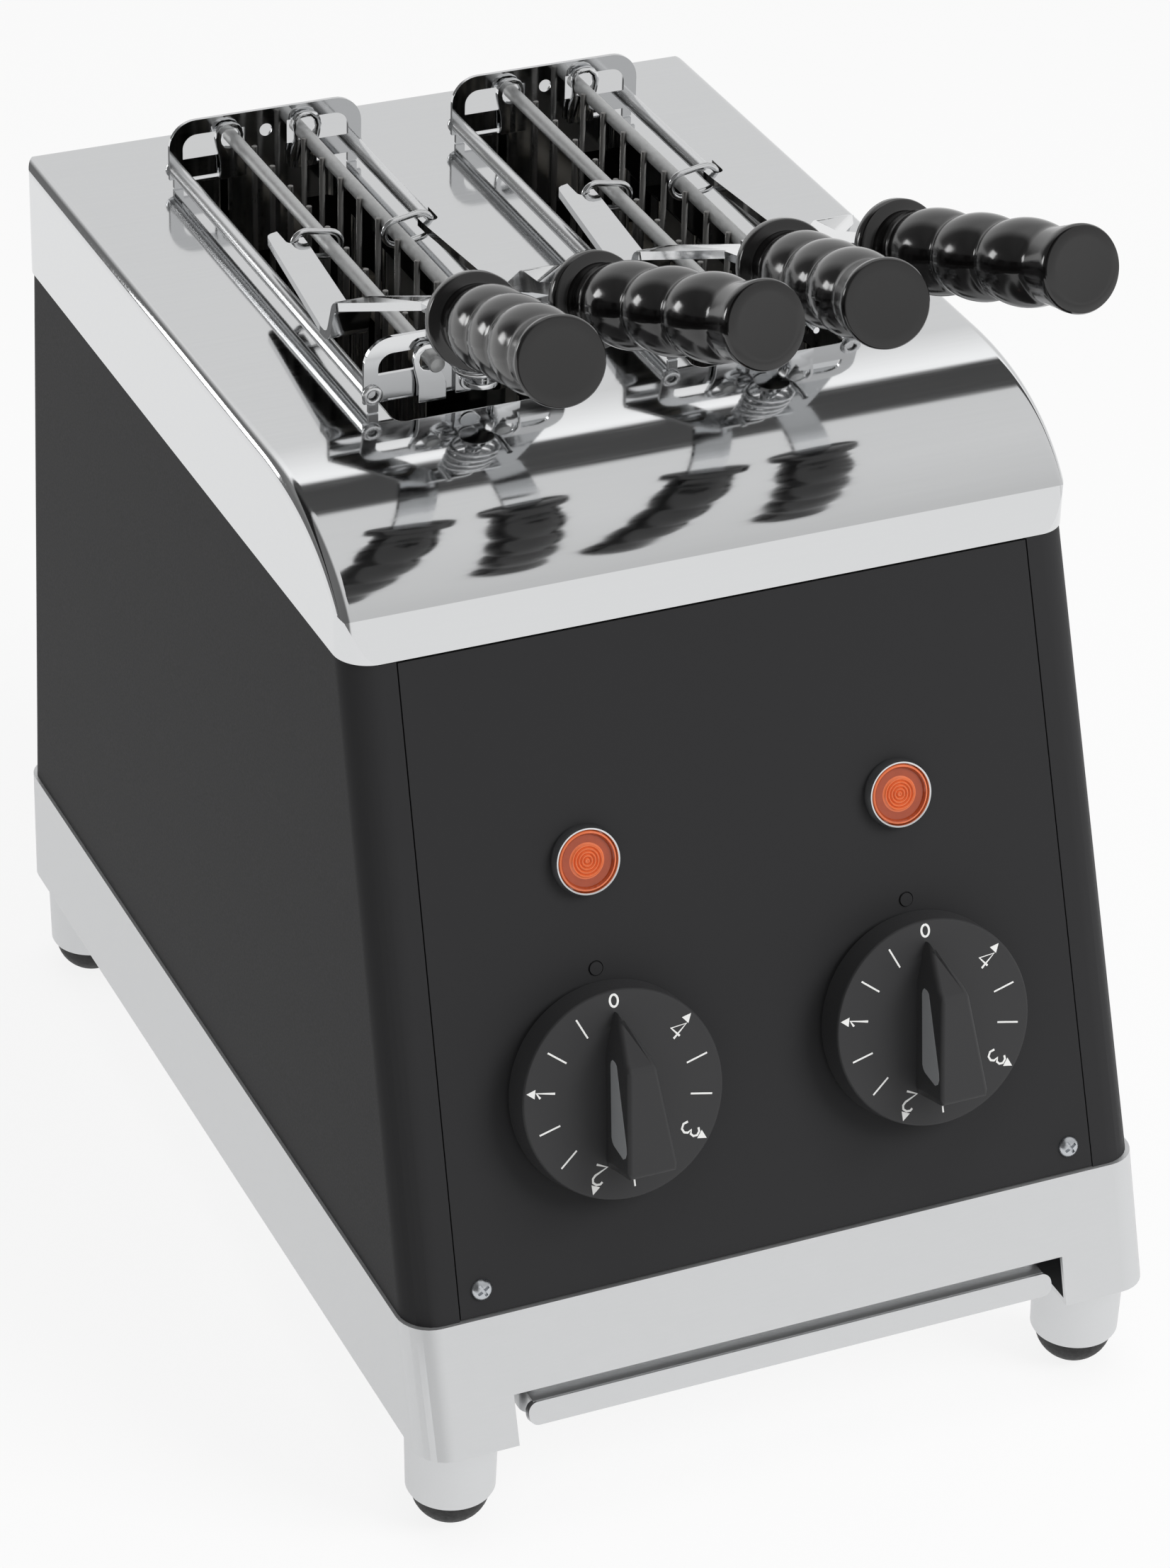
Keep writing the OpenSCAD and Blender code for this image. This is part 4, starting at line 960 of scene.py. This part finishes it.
    def spring(self, tong):
        """Torsion spring round the pivot pin."""
        low, high = box_of(f"t{tong[0]}_spring")
        thick, radius, turns, leg, steps = 0.95, 7, 4.5, 10, 108
        x, y, _ = (c / MM for c in JOINTS[f"tong_{tong}_squeeze_left"]["pos_m"])
        rise = high.z - low.z - 2 * thick
        coil = [Vector((x + radius * math.cos(a), y + radius * math.sin(a), low.z + thick + up))
                for a, up in zip(sweep(turns * math.tau, steps), sweep(rise, steps))]
        leg_end = Vector((0, -leg, 0))
        piece = wire(f"tong_{tong}_coil", [coil[0] + leg_end, *coil, coil[-1] + leg_end], thick)
        hand_over(smooth(piece, 60), chromed_wire, f"tong_{tong}", "polished_steel", f"t{tong[0]}_spring")


class TOASTER_OT_grids(bpy.types.Operator):
    """Four wire grids: zinc-coated rod, heat-tinted upright wires and end lugs"""
    bl_idname = "toaster.grids"
    bl_label = "Grids"

    def execute(self, context):
        thick, thin = sizes().rod / MM, sizes().wire / MM
        front, rear, deep, pitch, count = -29, 128.5, -118, 15, 10
        first = (front + rear) / 2 - (count - 1) * pitch / 2
        last = first + (count - 1) * pitch
        rod = turned("rod", [
            (0, front - 4.8), (1, front - 4.75), (thick - 0.1, front - 4.5), (thick + 0.25, front - 4),
            (thick + 0.25, front - 3.3), (thick, front - 3), (thick, rear + 2.7), (thick - 0.5, rear + 3.2),
            (0, rear + 3.2)], 32)
        seat(rod, moved(-ROD_X, 0, ROD_Z) @ ALONG_Y)
        parts = [coat(smooth(rod, 40), zinc_coated_rod)]
        inner, toe = thick + thin - 0.3 - ROD_X, 5.6
        upright = wire("upright", [(inner, 0, deep), (inner, 0, ROD_Z + 1.7)], thin)
        soften(upright, 0.2, 60)
        cross = wire("cross", [(inner, 0, deep), (inner + toe, 0, deep)], thin * 0.96, sides=2)
        stem = coat(smooth(joined("stem", [upright, cross]), 45), grid_wire)
        parts += [twin(stem, "stem_copy", moved(0, first + i * pitch, 0)) for i in range(count)]
        scrap(stem)
        bar = wire("bar", [(inner - thin, y, deep + 6) for y in (first - 4, last + 4)], thin, sides=2)
        parts.append(coat(smooth(bar, 45), grid_wire))
        strap = [(-15.6, 2), (-15.6, 7.4), (-15.9, 9.4), (-16.7, 12.6), (-17.1, 15.4), (-16.7, 17.6),
                 (-15.6, 19.2), (-13.9, 20), (-11.4, 20), (-9.5, 19.3), (-8.4, 17.8), (-8.1, 15.8),
                 (-8.5, 13.2), (-8.5, 11), (-7.6, 8.8), (-7.1, 7), (-7.1, 2)]
        eye = [(-15.3, 15), (-15, 13.6), (-14.1, 12.5), (-12.6, 12.1), (-10.7, 12.2), (-9.6, 13.2),
               (-9.4, 16.4), (-10.2, 17.9), (-11.8, 18.4), (-13.6, 18.3), (-14.9, 17)]
        for y in (front - 2.6, rear - 2.6):
            lug = plate("lug", [(x, y, z) for x, z in strap], (0, 1.8, 0))
            cut(lug, plate("eye", [(x, y - 2, z) for x, z in eye], (0, 6, 0)))
            parts.append(coat(smooth(soften(lug, 0.3, 40), 40), polished_stainless))
        grid = joined("grid", parts)
        for tong, side in SIDES:
            for arm, place in arm_places(side):
                hand_over(twin(grid, f"tong_{tong}_wires_{arm}", place), None, f"tong_{tong}_grid_{arm}",
                          "galvanised_wire", f"t{tong[0]}_grid_{arm}")
        scrap(grid)
        return {"FINISHED"}


class TOASTER_OT_inside(bpy.types.Operator):
    """Finishes of the CAD nodes that stay: liners, heaters, deck, timers and gland"""
    bl_idname = "toaster.inside"
    bl_label = "Inside"

    def execute(self, context):
        finishes = {
            dark_liner_and_bore_shade: ("chamber_left", "chamber_right"),
            satin_stainless: ("deck_plate", "tray_runners", "reflectors"),
            chromed_wire: ("guard_wires",),
            heater_quartz: ("heater_tubes",),
            heater_ceramic: ("heater_caps", "terminal_block", "timer_units", "lamp_bodies"),
            screw_zinc: ("foot_bolts", "shaft_left", "shaft_right"),
            gland_nylon: ("cable_gland",),
        }
        for make, nodes in finishes.items():
            for name in nodes:
                coat(NODES[name], make)
        return {"FINISHED"}


class TOASTER_OT_studio(bpy.types.Operator):
    """Stage: pale floor, soft lights, white surround and the camera"""
    bl_idname = "toaster.studio"
    bl_label = "Studio"

    def execute(self, context):
        self.floor()
        self.surround()
        aim = Vector((0, 0, 0.18))
        for name, place, size, power, mirrored in (
                ("key", (1.3, -1.5, 1.5), 1.2, 33, False), ("fill", (-1.6, -1.3, 1.5), 1.2, 2, False),
                ("top", (0.1, 0.1, 2.3), 1.6, 16, False), ("card", (-0.39, 0.4, 0.36), 0.13, 0.32, True)):
            bpy.ops.object.light_add(type="AREA", location=place)
            lamp = context.object
            lamp.name = f"studio_{name}"
            lamp.data.size = size
            lamp.data.energy = power
            lamp.visible_glossy = mirrored
            lamp.visible_diffuse = not mirrored
            lamp.visible_camera = False
            lamp.rotation_euler = (aim - Vector(place)).to_track_quat("-Z", "Y").to_euler()
        bpy.ops.object.camera_add(location=(-0.5704, -1.25934, 0.97611),
                                  rotation=[math.radians(a) for a in (58.6162, -1.4036, -23.7903)])
        camera = context.object
        camera.name = "studio_camera"
        camera.data.sensor_width = 36
        camera.data.lens = 122.62
        context.scene.camera = camera
        context.scene.view_settings.view_transform = "Standard"
        return {"FINISHED"}

    def floor(self):
        """Matt floor that keeps the shadow, mostly white where it is seen or mirrored."""
        rest_hands()
        bpy.ops.mesh.primitive_plane_add(size=8, location=(0, 0, 0))
        floor = named(bpy.context.object, "studio_floor")
        material = bpy.data.materials.new("pale_studio_floor")
        material.use_nodes = True
        tree = material.node_tree
        tree.nodes.clear()
        path = add(tree, "ShaderNodeLightPath").outputs
        seen = add(tree, "ShaderNodeMath", {0: path["Is Camera Ray"], 1: path["Is Glossy Ray"]},
                   operation="MAXIMUM")
        through = add(tree, "ShaderNodeMath", {0: seen.outputs[0], 1: path["Is Transmission Ray"]},
                      operation="MAXIMUM")
        matt = add(tree, "ShaderNodeBsdfDiffuse", {"Color": (0.9, 0.9, 0.9, 1)})
        glow = add(tree, "ShaderNodeEmission", {"Color": (1, 1, 1, 1), "Strength": 1})
        share = add(tree, "ShaderNodeMath", {0: through.outputs[0], 1: 0.86}, operation="MULTIPLY")
        both = add(tree, "ShaderNodeMixShader", {0: share.outputs[0], 1: matt.outputs[0], 2: glow.outputs[0]})
        add(tree, "ShaderNodeOutputMaterial", {"Surface": both.outputs[0]})
        floor.data.materials.append(material)

    def surround(self):
        """White where it is seen, pale and dark cards where it is mirrored, plain light for the rest."""
        world = bpy.data.worlds.new("studio_surround")
        bpy.context.scene.world = world
        world.use_nodes = True
        tree = world.node_tree
        tree.nodes.clear()
        path = add(tree, "ShaderNodeLightPath").outputs
        aim = add(tree, "ShaderNodeTexCoord").outputs["Generated"]
        apart = add(tree, "ShaderNodeSeparateXYZ", {"Vector": aim}).outputs
        angle = add(tree, "ShaderNodeMath", {0: apart["Z"], 1: apart["Y"]}, operation="ARCTAN2")
        share = add(tree, "ShaderNodeMapRange", {"Value": angle.outputs[0], "From Max": math.pi})
        ramp = add(tree, "ShaderNodeValToRGB", {"Fac": share.outputs[0]})
        stops = ramp.color_ramp.elements
        stops[0].position, stops[1].position = 0, 1
        levels = {0: 0.8, 0.17: 0.8, 0.262: 1.2, 0.27: 1.2, 0.278: 0.07, 0.372: 0.08, 0.382: 0.77, 0.55: 0.78,
                  0.7: 0.72, 0.8: 0.64, 0.93: 0.8, 0.97: 0.95, 1: 0.97}
        for spot, level in levels.items():
            stop = stops.new(spot) if 0 < spot < 1 else stops[0 if spot == 0 else -1]
            stop.color = (level, level, level, 1)
        right = add(tree, "ShaderNodeMapRange", {"Value": apart["X"], "From Min": -0.35, "From Max": -0.1,
                                                 "To Min": 0.22, "To Max": 1})
        cards = add(tree, "ShaderNodeMath", {0: ramp.outputs["Color"], 1: right.outputs[0]},
                    operation="MULTIPLY")
        mirrored = add(tree, "ShaderNodeMath", {0: path["Is Glossy Ray"], 1: path["Is Transmission Ray"]},
                       operation="MAXIMUM")
        plain = add(tree, "ShaderNodeMapRange", {"Value": path["Is Camera Ray"], "To Min": 0.32, "To Max": 1})
        level = add(tree, "ShaderNodeMix", {0: mirrored.outputs[0], 2: plain.outputs[0], 3: cards.outputs[0]})
        sky = add(tree, "ShaderNodeBackground", {"Color": (1, 1, 1, 1), "Strength": level.outputs[0]})
        add(tree, "ShaderNodeOutputWorld", {"Surface": sky.outputs[0]})


class TOASTER_PT_panel(bpy.types.Panel):
    """Sizes, colours and pieces of the toaster"""
    bl_idname = "TOASTER_PT_panel"
    bl_label = "Toaster"
    bl_space_type = "VIEW_3D"
    bl_region_type = "UI"
    bl_category = "Toaster"

    def draw(self, context):
        for group in (context.scene.toaster_sizes, context.scene.toaster_colours):
            for key in group.__annotations__:
                self.layout.prop(group, key)
        for operator in OPERATORS:
            self.layout.operator(operator.bl_idname)


OPERATORS = (
    TOASTER_OT_studio,
    TOASTER_OT_cover,
    TOASTER_OT_body,
    TOASTER_OT_base,
    TOASTER_OT_feet,
    TOASTER_OT_screws,
    TOASTER_OT_lamps,
    TOASTER_OT_knobs,
    TOASTER_OT_handles,
    TOASTER_OT_tong_frames,
    TOASTER_OT_grids,
    TOASTER_OT_inside,
)
CLASSES = (ToasterSizes, ToasterColours, *OPERATORS, TOASTER_PT_panel)


def register():
    for cls in CLASSES:
        bpy.utils.register_class(cls)
    bpy.types.Scene.toaster_sizes = PointerProperty(type=ToasterSizes)
    bpy.types.Scene.toaster_colours = PointerProperty(type=ToasterColours)


def unregister():
    del bpy.types.Scene.toaster_sizes
    del bpy.types.Scene.toaster_colours
    for cls in reversed(CLASSES):
        bpy.utils.unregister_class(cls)


def main():
    register()
    for operator in OPERATORS:
        group, name = operator.bl_idname.split(".")
        getattr(getattr(bpy.ops, group), name)()
    rest_hands()


if __name__ == "__main__":
    main()
